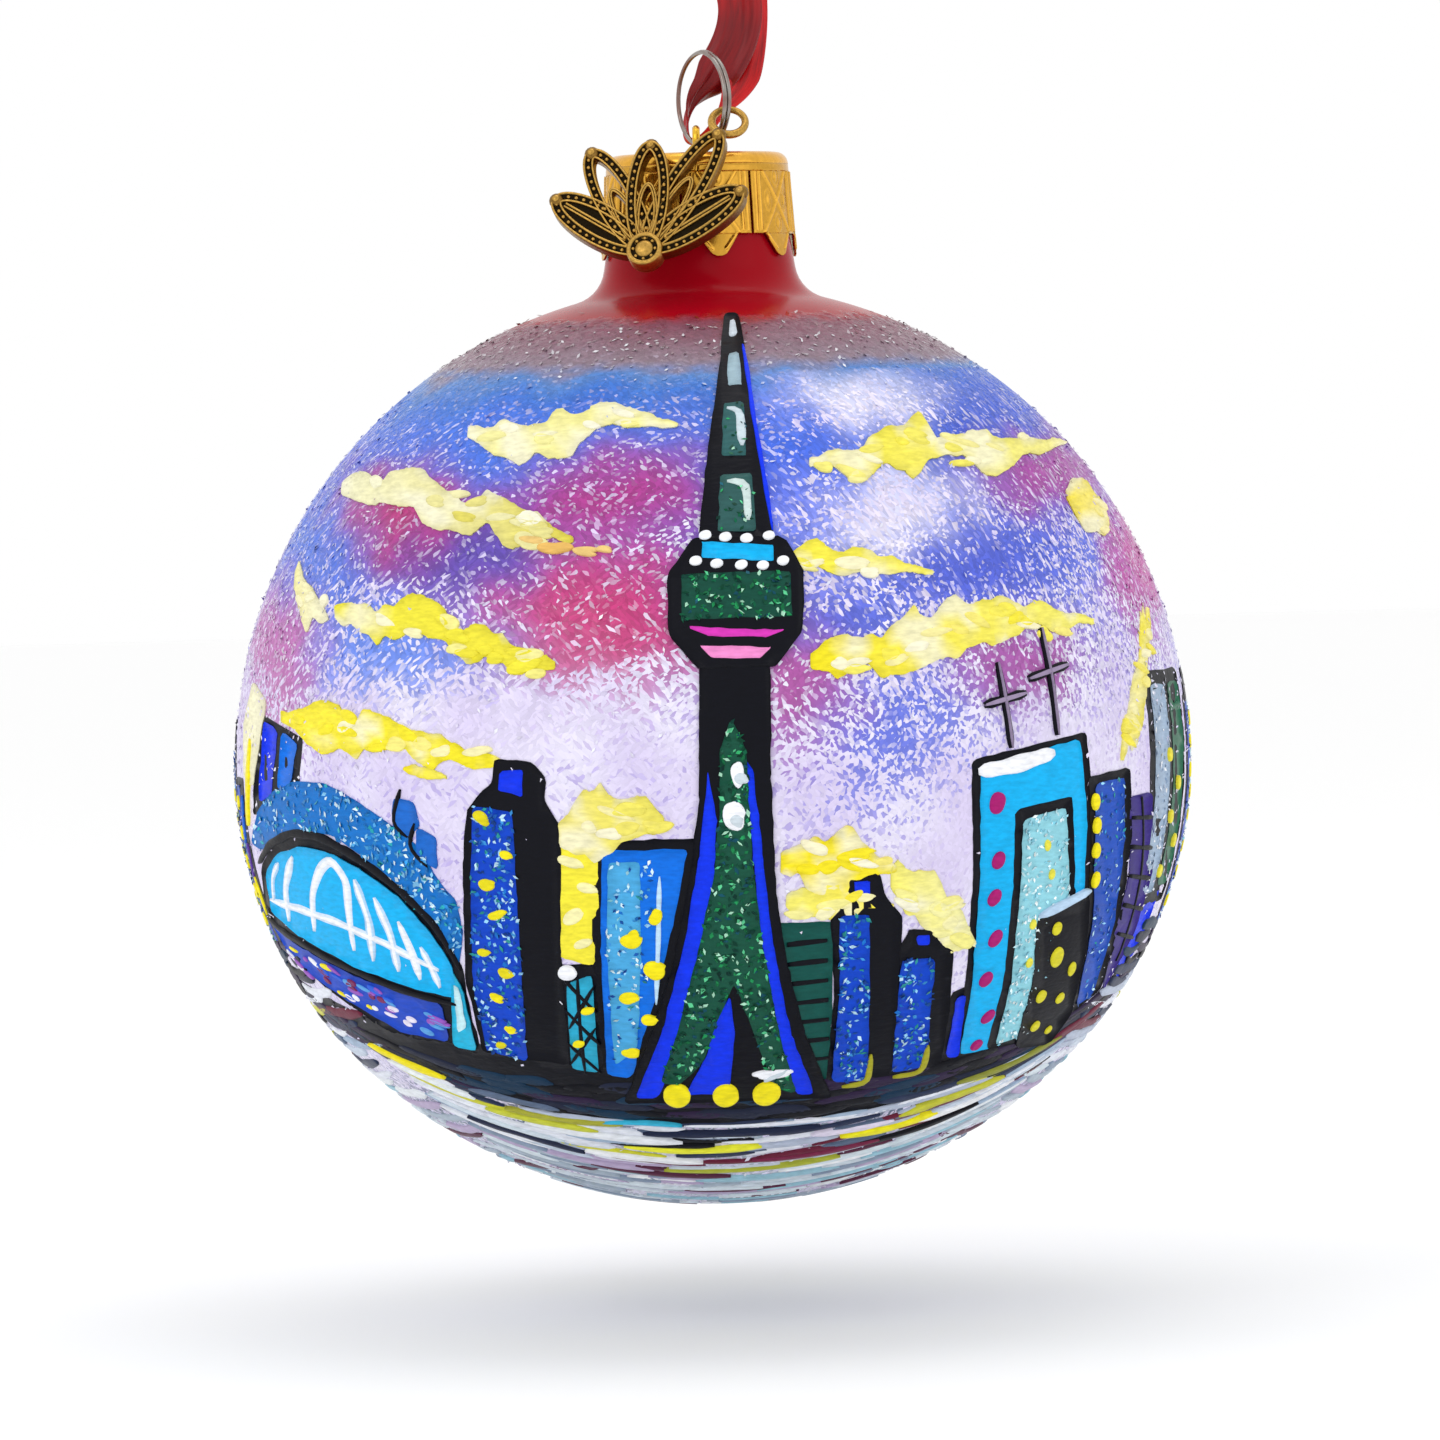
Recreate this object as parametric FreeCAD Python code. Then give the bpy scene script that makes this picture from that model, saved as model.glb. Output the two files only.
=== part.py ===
import FreeCAD, Part
import math
import os

# A souvenir Christmas ornament: a blown glass ball with a stamped gold cap, a
# spring wire hanger, a split ring with a filigree charm, and a ribbon to hang
# it by.  Millimetres, +Z up, front towards -Y.
#
# Every shape is built about the centre of the ball.  place() then moves it down
# by HANG_HEIGHT, so that the origin is the point that a hook or a twig carries,
# between the two strands of the ribbon and just under its knot.

V = FreeCAD.Vector
CENTRE = V(0, 0, 0)
UP = V(0, 0, 1)

# ---------------------------------------------------------------- frame
HANG_HEIGHT = 98.0         # hanging point above the centre of the ball

# ---------------------------------------------------------------- glass ball
BALL_R = 50.0              # widest radius, and the radius of the upper half
BALL_DEPTH = 46.3          # centre to bottom: the lower half is a little flat
BILGE_R = 44.0             # arc from the widest point down, before the flat bottom
GLASS_T = 0.8              # wall of the blown glass
SHOULDER_R = 4.0           # concave blend between the ball and its neck
SHOULDER_X = 14.0          # distance of that blend's centre from the axis
NECK_TAPER = 9.0           # degrees, where the neck leaves the blend
NECK_R = 9.0               # straight top of the neck
MOUTH_Z = 62.9             # rounded lip of the neck

# ---------------------------------------------------------------- cap
CAP_TOP = 63.6
CAP_T = 0.25               # stamped brass sheet
CAP_CORNER_R = 1.25        # outside radius at the edge of the top
CAP_R = 9.55               # outside, just under that corner
PANEL_R = 10.0             # outside, at the lower edge of the panels
PANEL_Z = 55.0
TAB_R = 10.37              # outside, at the tips of the tabs
TAB_Z = 52.65
TABS = 8
TAB_TURN = 12.0            # degrees from the front to the first tab, towards +X
TAB_BASE = 4.6             # width of a tab at the panel
TAB_TIP = 2.0              # width where the rounded tip starts
TAB_TIP_RISE = 0.55        # height of the rounded tip
SLIT = 0.3                 # saw cut between two panels
SLIT_TOP = 61.5
LEG_HOLE_R = 0.55
CUT_DEPTH = 4.0            # a cut through the skirt of the cap starts this far out
OVERLAP = 0.05             # between solids that are joined

# ---------------------------------------------------------------- hanger wire
WIRE_R = 0.4
ARCH_Z = 66.1              # centreline of the top of the arch
ARCH_Y = 5.3               # half the width of the arch
ARCH_CORNER_R = 1.2
LEG_BEND_Z = 61.5          # the legs start to spread here
LEG_WIDE = (7.65, 56.0)    # y and z where they press on the neck
LEG_END = (7.0, 46.0)
LEG_BEND_R = 2.5

# ---------------------------------------------------------------- split ring
RING_WIRE_R = 0.23
RING_R = 4.9               # centreline
RING_PITCH = 0.5
RING_TURNS = 1.57
RING_ARCS = 6              # arcs that the winding is made of
RING_CENTRE = V(0.8, -4.4, 69.2)
RING_YAW = 58.66           # degrees from +X round to the ring's own plane
RING_START = -122.0        # degrees in that plane, where the wire begins

# ---------------------------------------------------------------- charm
CHARM_BASE = V(-5.5, -14.75, 53.2)
CHARM_YAW = 12.0           # degrees, turned to its right
CHARM_TILT = 25.0          # degrees, bottom out from the ball
CHARM_T = 1.7
LOOP_FIRST = -58.0         # direction of the first loop, degrees from upright
LOOP_STEP = 28.5
LOOP_LENGTHS = (12.0, 13.5, 12.5, 15.2, 12.0)
LOOP_HALF_WIDTH = 2.3
LOOP_WALL = 0.8
BOSS_R = 1.9
BOSS_PROUD = 0.25          # the boss stands out this far on both faces
BEAD_R = 0.85              # a bead at the tip of each loop
STEM_R = 0.6
STEM_LOOP = 3              # the tall loop carries the stem
BAIL_R = 1.75              # centreline of the bail
BAIL_WIRE_R = 0.4
BAIL_CENTRE = V(3.4, -8.3, 66.6)
BAIL_AXIS = V(0.05, -0.766, 0.643)

# ---------------------------------------------------------------- ribbon
RIBBON_TUBE_R = 0.6        # the satin ribbon is 4.6 wide; its solid is this tube
RIBBON_GAP = 0.15          # between the tube and the wire that it goes round
RIBBON_RISE = 1.0          # the strands run this far into the knot before they are cut
KNOT_Z = 98.6              # flat underside of the knot
# From the knot down the left strand to the arch of the hanger.
LEFT_STRAND = (
    V(-0.9, 0.0, 98.6),
    V(-1.3, 0.2, 92.5),
    V(1.2, 0.8, 86.0),
    V(4.4, 1.2, 80.0),
    V(4.1, 1.1, 76.2),
    V(1.7, 1.3, 72.0),
    V(-0.8, 1.6, 69.0),
)
# Round the arch, as the corners outside the turn.
BIGHT = (
    V(-1.30, 1.6, 64.95),
    V(0.567, 1.6, 64.95),
)
# And back up the right strand to the knot.
RIGHT_STRAND = (
    V(2.6, 1.6, 67.6),
    V(4.7, 2.2, 71.5),
    V(5.6, 2.7, 77.0),
    V(5.6, 2.7, 81.5),
    V(5.1, 1.6, 88.0),
    V(1.9, 0.4, 94.0),
    V(0.9, 0.0, 98.6),
)
ROUND_SHARE = 0.45         # of the shorter run, taken up by each rounding

# ---------------------------------------------------------------- knot
KNOT_SIZE = V(6.4, 4.6, 5.4)
KNOT_SHARE = 0.42          # of its height, from its flat underside to its middle
TAIL_WIDTH = 4.0
TAIL_T = 0.5
TAIL_LENGTH = 7.0
TAIL_LEAN = 24.0           # degrees from upright, one to each side


# ================================================================ helpers
def place(shape):
    """Move a shape from the ball's frame to the ornament's own."""
    moved = shape.copy()
    moved.translate(V(0, 0, -HANG_HEIGHT))
    return moved


def write(name, shape):
    """Write one sub-part."""
    if not shape.isValid():
        raise ValueError(name + " is not a valid solid")
    solids = len(shape.Solids)
    print("%-12s %d solid, %8.1f mm3" % (name, solids, shape.Volume))
    place(shape).exportStep("parts/" + name + ".step")


def arc(start, middle, end):
    return Part.Arc(start, middle, end).toShape()


def line(start, end):
    return Part.LineSegment(start, end).toShape()


def on_profile(r, z):
    """A point of a profile that is turned about the axis."""
    return V(r, 0, z)


def turned(edges):
    """Turn a closed profile about the axis."""
    face = Part.Face(Part.Wire(edges))
    return face.revolve(CENTRE, UP, 360)


def rounded_path(points, radii):
    """Straight runs through the points, joined by tangent arcs."""
    edges = []
    last = points[0]
    for before, corner, after, radius in zip(points, points[1:], points[2:], radii):
        into = (corner - before).normalize()
        out = (after - corner).normalize()
        half_turn = into.getAngle(out) / 2
        reach = radius * math.tan(half_turn)
        start = corner - into * reach
        end = corner + out * reach
        inward = (out - into).normalize()
        sagitta = radius * (1 / math.cos(half_turn) - 1)
        if (start - last).Length > 1e-4:
            edges.append(line(last, start))
        edges.append(arc(start, corner + inward * sagitta, end))
        last = end
    edges.append(line(last, points[-1]))
    return Part.Wire(edges)


def round_bar(path, radius):
    """A round bar or tube swept along a path."""
    start = path.Edges[0]
    first = start.FirstParameter
    circle = Part.makeCircle(radius, start.valueAt(first), start.tangentAt(first))
    return path.makePipeShell([Part.Wire([circle])], True, True)


# ================================================================ glass ball
def ball_side(inset):
    """Edges from the bottom of the ball to the mouth, inset from the outside."""
    radius = BALL_R - inset
    depth = BALL_DEPTH - inset
    bilge = BILGE_R - inset
    blend = SHOULDER_R + inset
    neck = NECK_R - inset
    reach = BALL_R + SHOULDER_R
    centre = on_profile(SHOULDER_X, math.sqrt(reach ** 2 - SHOULDER_X ** 2))

    # The bottom arc is tangent to the bilge arc and level at the axis.
    offset = BALL_R - BILGE_R
    bottom_r = (offset ** 2 + BALL_DEPTH ** 2 - BILGE_R ** 2) / (2 * (BALL_DEPTH - BILGE_R))
    bottom_z = bottom_r - BALL_DEPTH
    low = math.atan2(bottom_z, offset)
    equator = on_profile(radius, 0)
    bilge_middle = on_profile(offset + bilge * math.cos(low / 2), -bilge * math.sin(low / 2))
    bilge_end = on_profile(offset + bilge * math.cos(low), -bilge * math.sin(low))
    bottom = bottom_r - inset
    half = (low + math.pi / 2) / 2
    bottom_middle = on_profile(bottom * math.cos(half), bottom_z - bottom * math.sin(half))
    lower = [
        arc(on_profile(0, -depth), bottom_middle, bilge_end),
        arc(bilge_end, bilge_middle, equator),
    ]

    contact = centre * (radius / reach)
    contact_angle = math.atan2(contact.z, contact.x)
    half = contact_angle / 2
    upper = arc(equator, on_profile(radius * math.cos(half), radius * math.sin(half)), contact)

    taper = math.radians(NECK_TAPER)
    blend_end = centre - on_profile(math.cos(taper), math.sin(taper)) * blend
    half = (taper + contact_angle) / 2
    blend_middle = centre - on_profile(math.cos(half), math.sin(half)) * blend
    shoulder = arc(contact, blend_middle, blend_end)

    taper_top = on_profile(neck, blend_end.z + (blend_end.x - neck) / math.tan(taper))
    lip = on_profile(neck, MOUTH_Z - GLASS_T / 2)
    return lower + [upper, shoulder, line(blend_end, taper_top), line(taper_top, lip)]


def glass_ball():
    outside = ball_side(0)
    inside = ball_side(GLASS_T)
    lip = arc(
        on_profile(NECK_R, MOUTH_Z - GLASS_T / 2),
        on_profile(NECK_R - GLASS_T / 2, MOUTH_Z),
        on_profile(NECK_R - GLASS_T, MOUTH_Z - GLASS_T / 2),
    )
    pole = line(on_profile(0, -BALL_DEPTH), on_profile(0, GLASS_T - BALL_DEPTH))
    return turned(Part.__sortEdges__(outside + [lip] + inside + [pole]))


# ================================================================ cap
def cap_wall(outer, inner, top, bottom):
    """A ring of sheet between two levels; outer and inner are (top, bottom) radii."""
    corners = [
        on_profile(outer[0], top),
        on_profile(outer[1], bottom),
        on_profile(inner[1], bottom),
        on_profile(inner[0], top),
    ]
    return turned([line(a, b) for a, b in zip(corners, corners[1:] + corners[:1])])


def cap_top():
    """The flat top with its rounded edge, down to the start of the panels."""
    flat = CAP_R - CAP_CORNER_R
    inner_r = CAP_CORNER_R - CAP_T
    edge_z = CAP_TOP - CAP_CORNER_R
    middle = math.sqrt(0.5)
    return turned([
        line(on_profile(0, CAP_TOP), on_profile(flat, CAP_TOP)),
        arc(
            on_profile(flat, CAP_TOP),
            on_profile(flat + CAP_CORNER_R * middle, edge_z + CAP_CORNER_R * middle),
            on_profile(CAP_R, edge_z),
        ),
        line(on_profile(CAP_R, edge_z), on_profile(CAP_R - CAP_T, edge_z)),
        arc(
            on_profile(CAP_R - CAP_T, edge_z),
            on_profile(flat + inner_r * middle, edge_z + inner_r * middle),
            on_profile(flat, CAP_TOP - CAP_T),
        ),
        line(on_profile(flat, CAP_TOP - CAP_T), on_profile(0, CAP_TOP - CAP_T)),
        line(on_profile(0, CAP_TOP - CAP_T), on_profile(0, CAP_TOP)),
    ])


def tab_block():
    """The outline of one tab at the front, cut out radially from its ring."""
    base = TAB_BASE / 2
    tip = TAB_TIP / 2
    near = CUT_DEPTH / 2 - PANEL_R
    corners = [
        V(-base, near, PANEL_Z + OVERLAP),
        V(-tip, near, TAB_Z + TAB_TIP_RISE),
        V(tip, near, TAB_Z + TAB_TIP_RISE),
        V(base, near, PANEL_Z + OVERLAP),
    ]
    outline = [
        line(corners[0], corners[1]),
        arc(corners[1], V(0, near, TAB_Z), corners[2]),
        line(corners[2], corners[3]),
        line(corners[3], corners[0]),
    ]
    return Part.Face(Part.Wire(outline)).extrude(V(0, -CUT_DEPTH, 0))


def cap():
    edge_z = CAP_TOP - CAP_CORNER_R
    panels = cap_wall(
        (CAP_R, PANEL_R), (CAP_R - CAP_T, PANEL_R - CAP_T), edge_z, PANEL_Z)
    tab_ring = cap_wall(
        (PANEL_R, TAB_R), (PANEL_R - CAP_T, TAB_R - CAP_T), PANEL_Z, TAB_Z)
    pitch = 360.0 / TABS
    slit_corner = V(-SLIT / 2, -PANEL_R - CUT_DEPTH / 2, PANEL_Z - CUT_DEPTH)
    slit_height = SLIT_TOP - slit_corner.z
    blocks = []
    slits = []
    for number in range(TABS):
        block = tab_block()
        block.rotate(CENTRE, UP, TAB_TURN + number * pitch)
        blocks.append(block)
        slit = Part.makeBox(SLIT, CUT_DEPTH, slit_height, slit_corner)
        slit.rotate(CENTRE, UP, TAB_TURN + (number + 0.5) * pitch)
        slits.append(slit)
    tabs = tab_ring.common(Part.makeCompound(blocks))
    shell = cap_top().fuse([panels] + tabs.Solids)
    holes = [
        Part.makeCylinder(LEG_HOLE_R, CUT_DEPTH, V(0, side * ARCH_Y, CAP_TOP - CUT_DEPTH / 2))
        for side in (-1, 1)]
    return shell.cut(slits + holes).removeSplitter().Solids[0]


# ================================================================ hanger wire
def hanger_wire():
    """An arch over the cap whose spring legs spread against the neck."""
    half = [
        V(0, LEG_END[0], LEG_END[1]),
        V(0, LEG_WIDE[0], LEG_WIDE[1]),
        V(0, ARCH_Y, LEG_BEND_Z),
        V(0, ARCH_Y, ARCH_Z),
    ]
    mirrored = [V(0, -point.y, point.z) for point in half]
    radii = [LEG_BEND_R, LEG_BEND_R, ARCH_CORNER_R]
    path = rounded_path(mirrored + half[::-1], radii + radii[::-1])
    return round_bar(path, WIRE_R)


# ================================================================ split ring
def ring_point(turns):
    """A point of the ring's centreline, this many turns from its middle."""
    angle = math.radians(RING_START) + 2 * math.pi * (turns + RING_TURNS / 2)
    yaw = math.radians(RING_YAW)
    across = V(math.cos(yaw), -math.sin(yaw), 0)
    axis = V(-math.sin(yaw), -math.cos(yaw), 0)
    round_axis = across * math.cos(angle) + UP * math.sin(angle)
    return RING_CENTRE + round_axis * RING_R + axis * (RING_PITCH * turns)


def split_ring():
    """A wire wound a little more than once and a half, standing on edge."""
    step = RING_TURNS / RING_ARCS
    path = []
    for number in range(RING_ARCS):
        start = number * step - RING_TURNS / 2
        path.append(arc(ring_point(start), ring_point(start + step / 2), ring_point(start + step)))
    return round_bar(Part.Wire(path), RING_WIRE_R)


# ================================================================ charm
def charm_placement():
    """From the charm's own plane, X across and Y up, to where it hangs."""
    yaw = math.radians(CHARM_YAW)
    tilt = math.radians(CHARM_TILT)
    across = V(math.cos(yaw), -math.sin(yaw), 0)
    face = V(-math.sin(yaw) * math.cos(tilt), -math.cos(yaw) * math.cos(tilt), math.sin(tilt))
    up = face.cross(across)
    return FreeCAD.Placement(FreeCAD.Matrix(
        across.x, up.x, face.x, CHARM_BASE.x,
        across.y, up.y, face.y, CHARM_BASE.y,
        across.z, up.z, face.z, CHARM_BASE.z,
        0, 0, 0, 1))


def ellipse_plate(length, half_width, inset):
    """An upright ellipse that stands on the origin, as thick as the charm."""
    middle = V(0, length / 2, -CHARM_T / 2)
    top = middle + V(0, length / 2 - inset, 0)
    side = middle + V(half_width - inset, 0, 0)
    outline = Part.Ellipse(top, side, middle).toShape()
    return Part.Face(Part.Wire([outline])).extrude(V(0, 0, CHARM_T))


def loop_direction(number):
    angle = math.radians(LOOP_FIRST + number * LOOP_STEP)
    return V(math.sin(angle), math.cos(angle), 0)


def charm():
    """Five overlapping loops that fan out from a boss, with a stem and a bail."""
    pieces = []
    for number, length in enumerate(LOOP_LENGTHS):
        loop = ellipse_plate(length, LOOP_HALF_WIDTH, 0)
        loop = loop.cut(ellipse_plate(length, LOOP_HALF_WIDTH, LOOP_WALL))
        loop.rotate(CENTRE, UP, -(LOOP_FIRST + number * LOOP_STEP))
        pieces.append(loop)
        tip = loop_direction(number) * (length - LOOP_WALL / 2)
        pieces.append(Part.makeSphere(BEAD_R, tip))
    boss_height = CHARM_T + 2 * BOSS_PROUD
    pieces.append(Part.makeCylinder(BOSS_R, boss_height, V(0, 0, -boss_height / 2)))

    placement = charm_placement()
    stem_start = loop_direction(STEM_LOOP) * (LOOP_LENGTHS[STEM_LOOP] - LOOP_WALL)
    stem_start = placement.multVec(stem_start)
    bail = Part.makeTorus(BAIL_R, BAIL_WIRE_R, BAIL_CENTRE, BAIL_AXIS)
    towards = stem_start - BAIL_CENTRE
    axis = V(BAIL_AXIS).normalize()
    towards = (towards - axis * towards.dot(axis)).normalize()
    stem = round_bar(Part.Wire([line(stem_start, BAIL_CENTRE + towards * BAIL_R)]), STEM_R)

    fan = pieces[0].fuse(pieces[1:])
    fan.Placement = placement
    return fan.fuse([stem, bail]).removeSplitter().Solids[0]


# ================================================================ ribbon
def half_space(level, below):
    """A block as large as the ornament, to cut with, whose flat side is at a level."""
    side = 2 * HANG_HEIGHT
    corner = V(-side / 2, -side / 2, level - side if below else level)
    return Part.makeBox(side, side, side, corner)


def ribbon_radii(points, wrap):
    """The rounding at each inner point; the two corners of the bight wrap the wire."""
    radii = []
    for before, corner, after in zip(points, points[1:], points[2:]):
        run = min((corner - before).Length, (after - corner).Length)
        turn = (corner - before).getAngle(after - corner)
        radius = ROUND_SHARE * run / math.tan(turn / 2)
        radii.append(wrap if corner in BIGHT else radius)
    return radii


def ribbon():
    """Down the left strand, round the arch of the hanger and up the right strand."""
    points = LEFT_STRAND + BIGHT + RIGHT_STRAND
    wrap = WIRE_R + RIBBON_GAP + RIBBON_TUBE_R
    radii = ribbon_radii(points, wrap)
    print("ribbon radii", " ".join("%.1f" % radius for radius in radii))
    rise = V(0, 0, RIBBON_RISE)
    path = rounded_path((points[0] + rise,) + points[1:-1] + (points[-1] + rise,), radii)
    tube = round_bar(path, RIBBON_TUBE_R)
    section = math.pi * RIBBON_TUBE_R ** 2
    print("ribbon volume %.2f, section x length %.2f" % (tube.Volume, section * path.Length))
    tube = tube.common(half_space(KNOT_Z, below=True)).Solids[0]
    print("ribbon length below the knot %.1f" % (tube.Volume / section))
    return tube


def ribbon_tail(side):
    """One flat end of the ribbon, standing out of the knot."""
    tail = Part.makeBox(TAIL_WIDTH, TAIL_T, TAIL_LENGTH, V(-TAIL_WIDTH / 2, -TAIL_T / 2, 0))
    tail.rotate(CENTRE, UP, side * CHARM_YAW)
    tail.rotate(CENTRE, V(0, 1, 0), side * TAIL_LEAN)
    tail.translate(V(0, side * TAIL_T, KNOT_Z + KNOT_SIZE.z / 2))
    return tail


def ribbon_knot():
    """The tight overhand knot that joins the strands, flat where they enter it."""
    lump = Part.makeSphere(0.5)
    stretch = FreeCAD.Matrix()
    stretch.scale(KNOT_SIZE)
    lump = lump.transformGeometry(stretch)
    lump.translate(V(0, 0, KNOT_Z + KNOT_SIZE.z * KNOT_SHARE))
    lump = lump.common(half_space(KNOT_Z, below=False))
    return lump.fuse([ribbon_tail(-1), ribbon_tail(1)]).removeSplitter().Solids[0]


# ================================================================ all pieces
def build():
    return {
        "glass_ball": glass_ball(),
        "cap": cap(),
        "hanger_wire": hanger_wire(),
        "split_ring": split_ring(),
        "charm": charm(),
        "ribbon": ribbon(),
        "ribbon_knot": ribbon_knot(),
    }


os.makedirs("parts", exist_ok=True)
for node_name, node_shape in build().items():
    write(node_name, node_shape)
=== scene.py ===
import math
import random

import bpy
import numpy as np
from mathutils import Matrix, Vector, noise
from mathutils.geometry import delaunay_2d_cdt


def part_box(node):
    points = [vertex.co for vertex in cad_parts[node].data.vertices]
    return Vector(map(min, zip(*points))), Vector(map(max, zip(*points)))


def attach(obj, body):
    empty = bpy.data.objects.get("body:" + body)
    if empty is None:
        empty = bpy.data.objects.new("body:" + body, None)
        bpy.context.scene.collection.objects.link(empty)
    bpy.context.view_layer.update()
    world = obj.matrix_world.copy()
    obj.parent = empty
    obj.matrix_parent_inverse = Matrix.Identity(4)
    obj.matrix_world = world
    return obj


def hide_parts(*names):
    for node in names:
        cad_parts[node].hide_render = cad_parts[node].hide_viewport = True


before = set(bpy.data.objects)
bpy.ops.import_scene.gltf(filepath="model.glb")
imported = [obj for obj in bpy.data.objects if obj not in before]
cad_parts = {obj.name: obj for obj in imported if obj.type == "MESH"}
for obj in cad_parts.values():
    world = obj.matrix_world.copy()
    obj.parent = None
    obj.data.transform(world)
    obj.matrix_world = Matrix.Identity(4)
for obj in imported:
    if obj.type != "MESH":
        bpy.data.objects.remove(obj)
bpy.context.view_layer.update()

# ==== Studio ====================================================================
# The ornament hangs a little above a matt white table, under broad soft lamps. The
# camera stands low in front of it, a long way back, and is rolled very slightly.

MM = 0.001
BALL_DEPTH = 46.3           # mm from the widest level of the ball down to its lowest point
BALL_CENTRE = Vector((0.0, 0.0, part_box("glass_ball")[0].z + BALL_DEPTH * MM))


def srgb(code):
    """The linear colour of an sRGB hex value."""
    channels = [int(code[at:at + 2], 16) / 255 for at in (0, 2, 4)]
    linear = [c / 12.92 if c <= 0.04045 else ((c + 0.055) / 1.055) ** 2.4 for c in channels]
    return (*linear, 1.0)


def add(tree, kind, inputs=None, **settings):
    """Adds a node. An input that is given a socket is linked, and any other is set."""
    node = tree.nodes.new(kind)
    for name, value in settings.items():
        setattr(node, name, value)
    for key, value in (inputs or {}).items():
        if isinstance(value, bpy.types.NodeSocket):
            tree.links.new(value, node.inputs[key])
        else:
            node.inputs[key].default_value = value
    return node


def start_material(name):
    """A new material and its empty node tree."""
    material = bpy.data.materials.new(name)
    material.use_nodes = True
    material.node_tree.nodes.clear()
    return material, material.node_tree


def finish_material(tree, inputs):
    """Ends a material's tree in a surface shader with those inputs."""
    shader = add(tree, "ShaderNodeBsdfPrincipled", inputs)
    add(tree, "ShaderNodeOutputMaterial", {"Surface": shader.outputs["BSDF"]})


# Matt white laminate: nearly even, with a faint tooth.
table_laminate, tree = start_material("matt_white_laminate")
TOOTH = 1.5 * MM
tooth = add(tree, "ShaderNodeTexNoise", {
    "Vector": add(tree, "ShaderNodeTexCoord").outputs["Object"], "Scale": 1 / TOOTH})
tooth_bump = add(tree, "ShaderNodeBump", {
    "Height": tooth.outputs[0], "Strength": 0.1, "Distance": 0.05 * MM})
finish_material(tree, {
    "Base Color": srgb("fdfdfd"), "Roughness": 0.8, "Normal": tooth_bump.outputs[0]})

TABLE_GAP = 11.5            # mm of air between the ball and the table
TABLE_R = 3.0
bpy.ops.mesh.primitive_circle_add(
    vertices=128, radius=TABLE_R, fill_type="NGON",
    location=(0, 0, BALL_CENTRE.z - (BALL_DEPTH + TABLE_GAP) * MM))
table_top = bpy.context.object
table_top.name = "table_top"
table_top.data.materials.append(table_laminate)


def softbox(name, place, width, power):
    """A square area lamp that faces the ball."""
    lamp = bpy.data.lights.new(name, "AREA")
    lamp.size = width
    lamp.energy = power
    holder = bpy.data.objects.new(name, lamp)
    holder.location = BALL_CENTRE + Vector(place)
    holder.rotation_euler = Vector(place).to_track_quat("Z", "Y").to_euler()
    bpy.context.collection.objects.link(holder)


softbox("key_lamp", (-0.45, -0.55, 0.45), 0.35, 0.75)
softbox("fill_lamp", (0.6, -0.45, 0.1), 0.5, 0.3)
softbox("top_lamp", (0.05, 0.1, 0.7), 0.4, 0.6)

world = bpy.data.worlds.new("white_room")
world.use_nodes = True
world.node_tree.nodes["Background"].inputs["Color"].default_value = (1, 1, 1, 1)
world.node_tree.nodes["Background"].inputs["Strength"].default_value = 1.0
bpy.context.scene.world = world
bpy.context.scene.view_settings.view_transform = "Standard"

CAMERA_DISTANCE = 0.9
CAMERA_HEIGHT = math.radians(2.0)       # above the level of the ball
CAMERA_ROLL = math.radians(1.5)
FRAME_WIDTH = 0.1514                    # seen across the picture at the ball
SENSOR = 36.0
AIM = (0.79, 4.2)                       # mm from the ball's centre, right and up

camera_data = bpy.data.cameras.new("camera")
camera_data.sensor_width = SENSOR
camera_data.lens = SENSOR * CAMERA_DISTANCE / FRAME_WIDTH
camera = bpy.data.objects.new("camera", camera_data)
bpy.context.collection.objects.link(camera)
level_right = Vector((1, 0, 0))
level_up = Vector((0, math.sin(CAMERA_HEIGHT), math.cos(CAMERA_HEIGHT)))
backward = level_right.cross(level_up)
right = level_right * math.cos(CAMERA_ROLL) - level_up * math.sin(CAMERA_ROLL)
up = level_up * math.cos(CAMERA_ROLL) + level_right * math.sin(CAMERA_ROLL)
aim = BALL_CENTRE + (right * AIM[0] + up * AIM[1]) * MM
camera.matrix_world = (
    Matrix.Translation(aim + backward * CAMERA_DISTANCE)
    @ Matrix((right, up, backward)).transposed().to_4x4())
bpy.context.scene.camera = camera

# ==== Ball ======================================================================
# Blown glass, flattened underneath, with a short neck. It is dipped in lacquer,
# washed by sponge in sky colours and dusted with crushed glass; the neck stays red.

BALL_R = 50.0
BILGE_R = 44.0              # the tighter turn below the widest level
SHOULDER_R = 4.0            # concave blend into the neck
SHOULDER_X = 14.0
NECK_TAPER = 9.0
NECK_R = 9.0
MOUTH_Z = 62.9
GLASS_T = 0.8


def arc(centre, radius, start, end, steps):
    """Points (r, z) along an arc of the profile, between two angles in degrees."""
    angles = np.radians(np.linspace(start, end, steps))
    return np.column_stack([
        centre[0] + radius * np.cos(angles), centre[1] + radius * np.sin(angles)])


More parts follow.
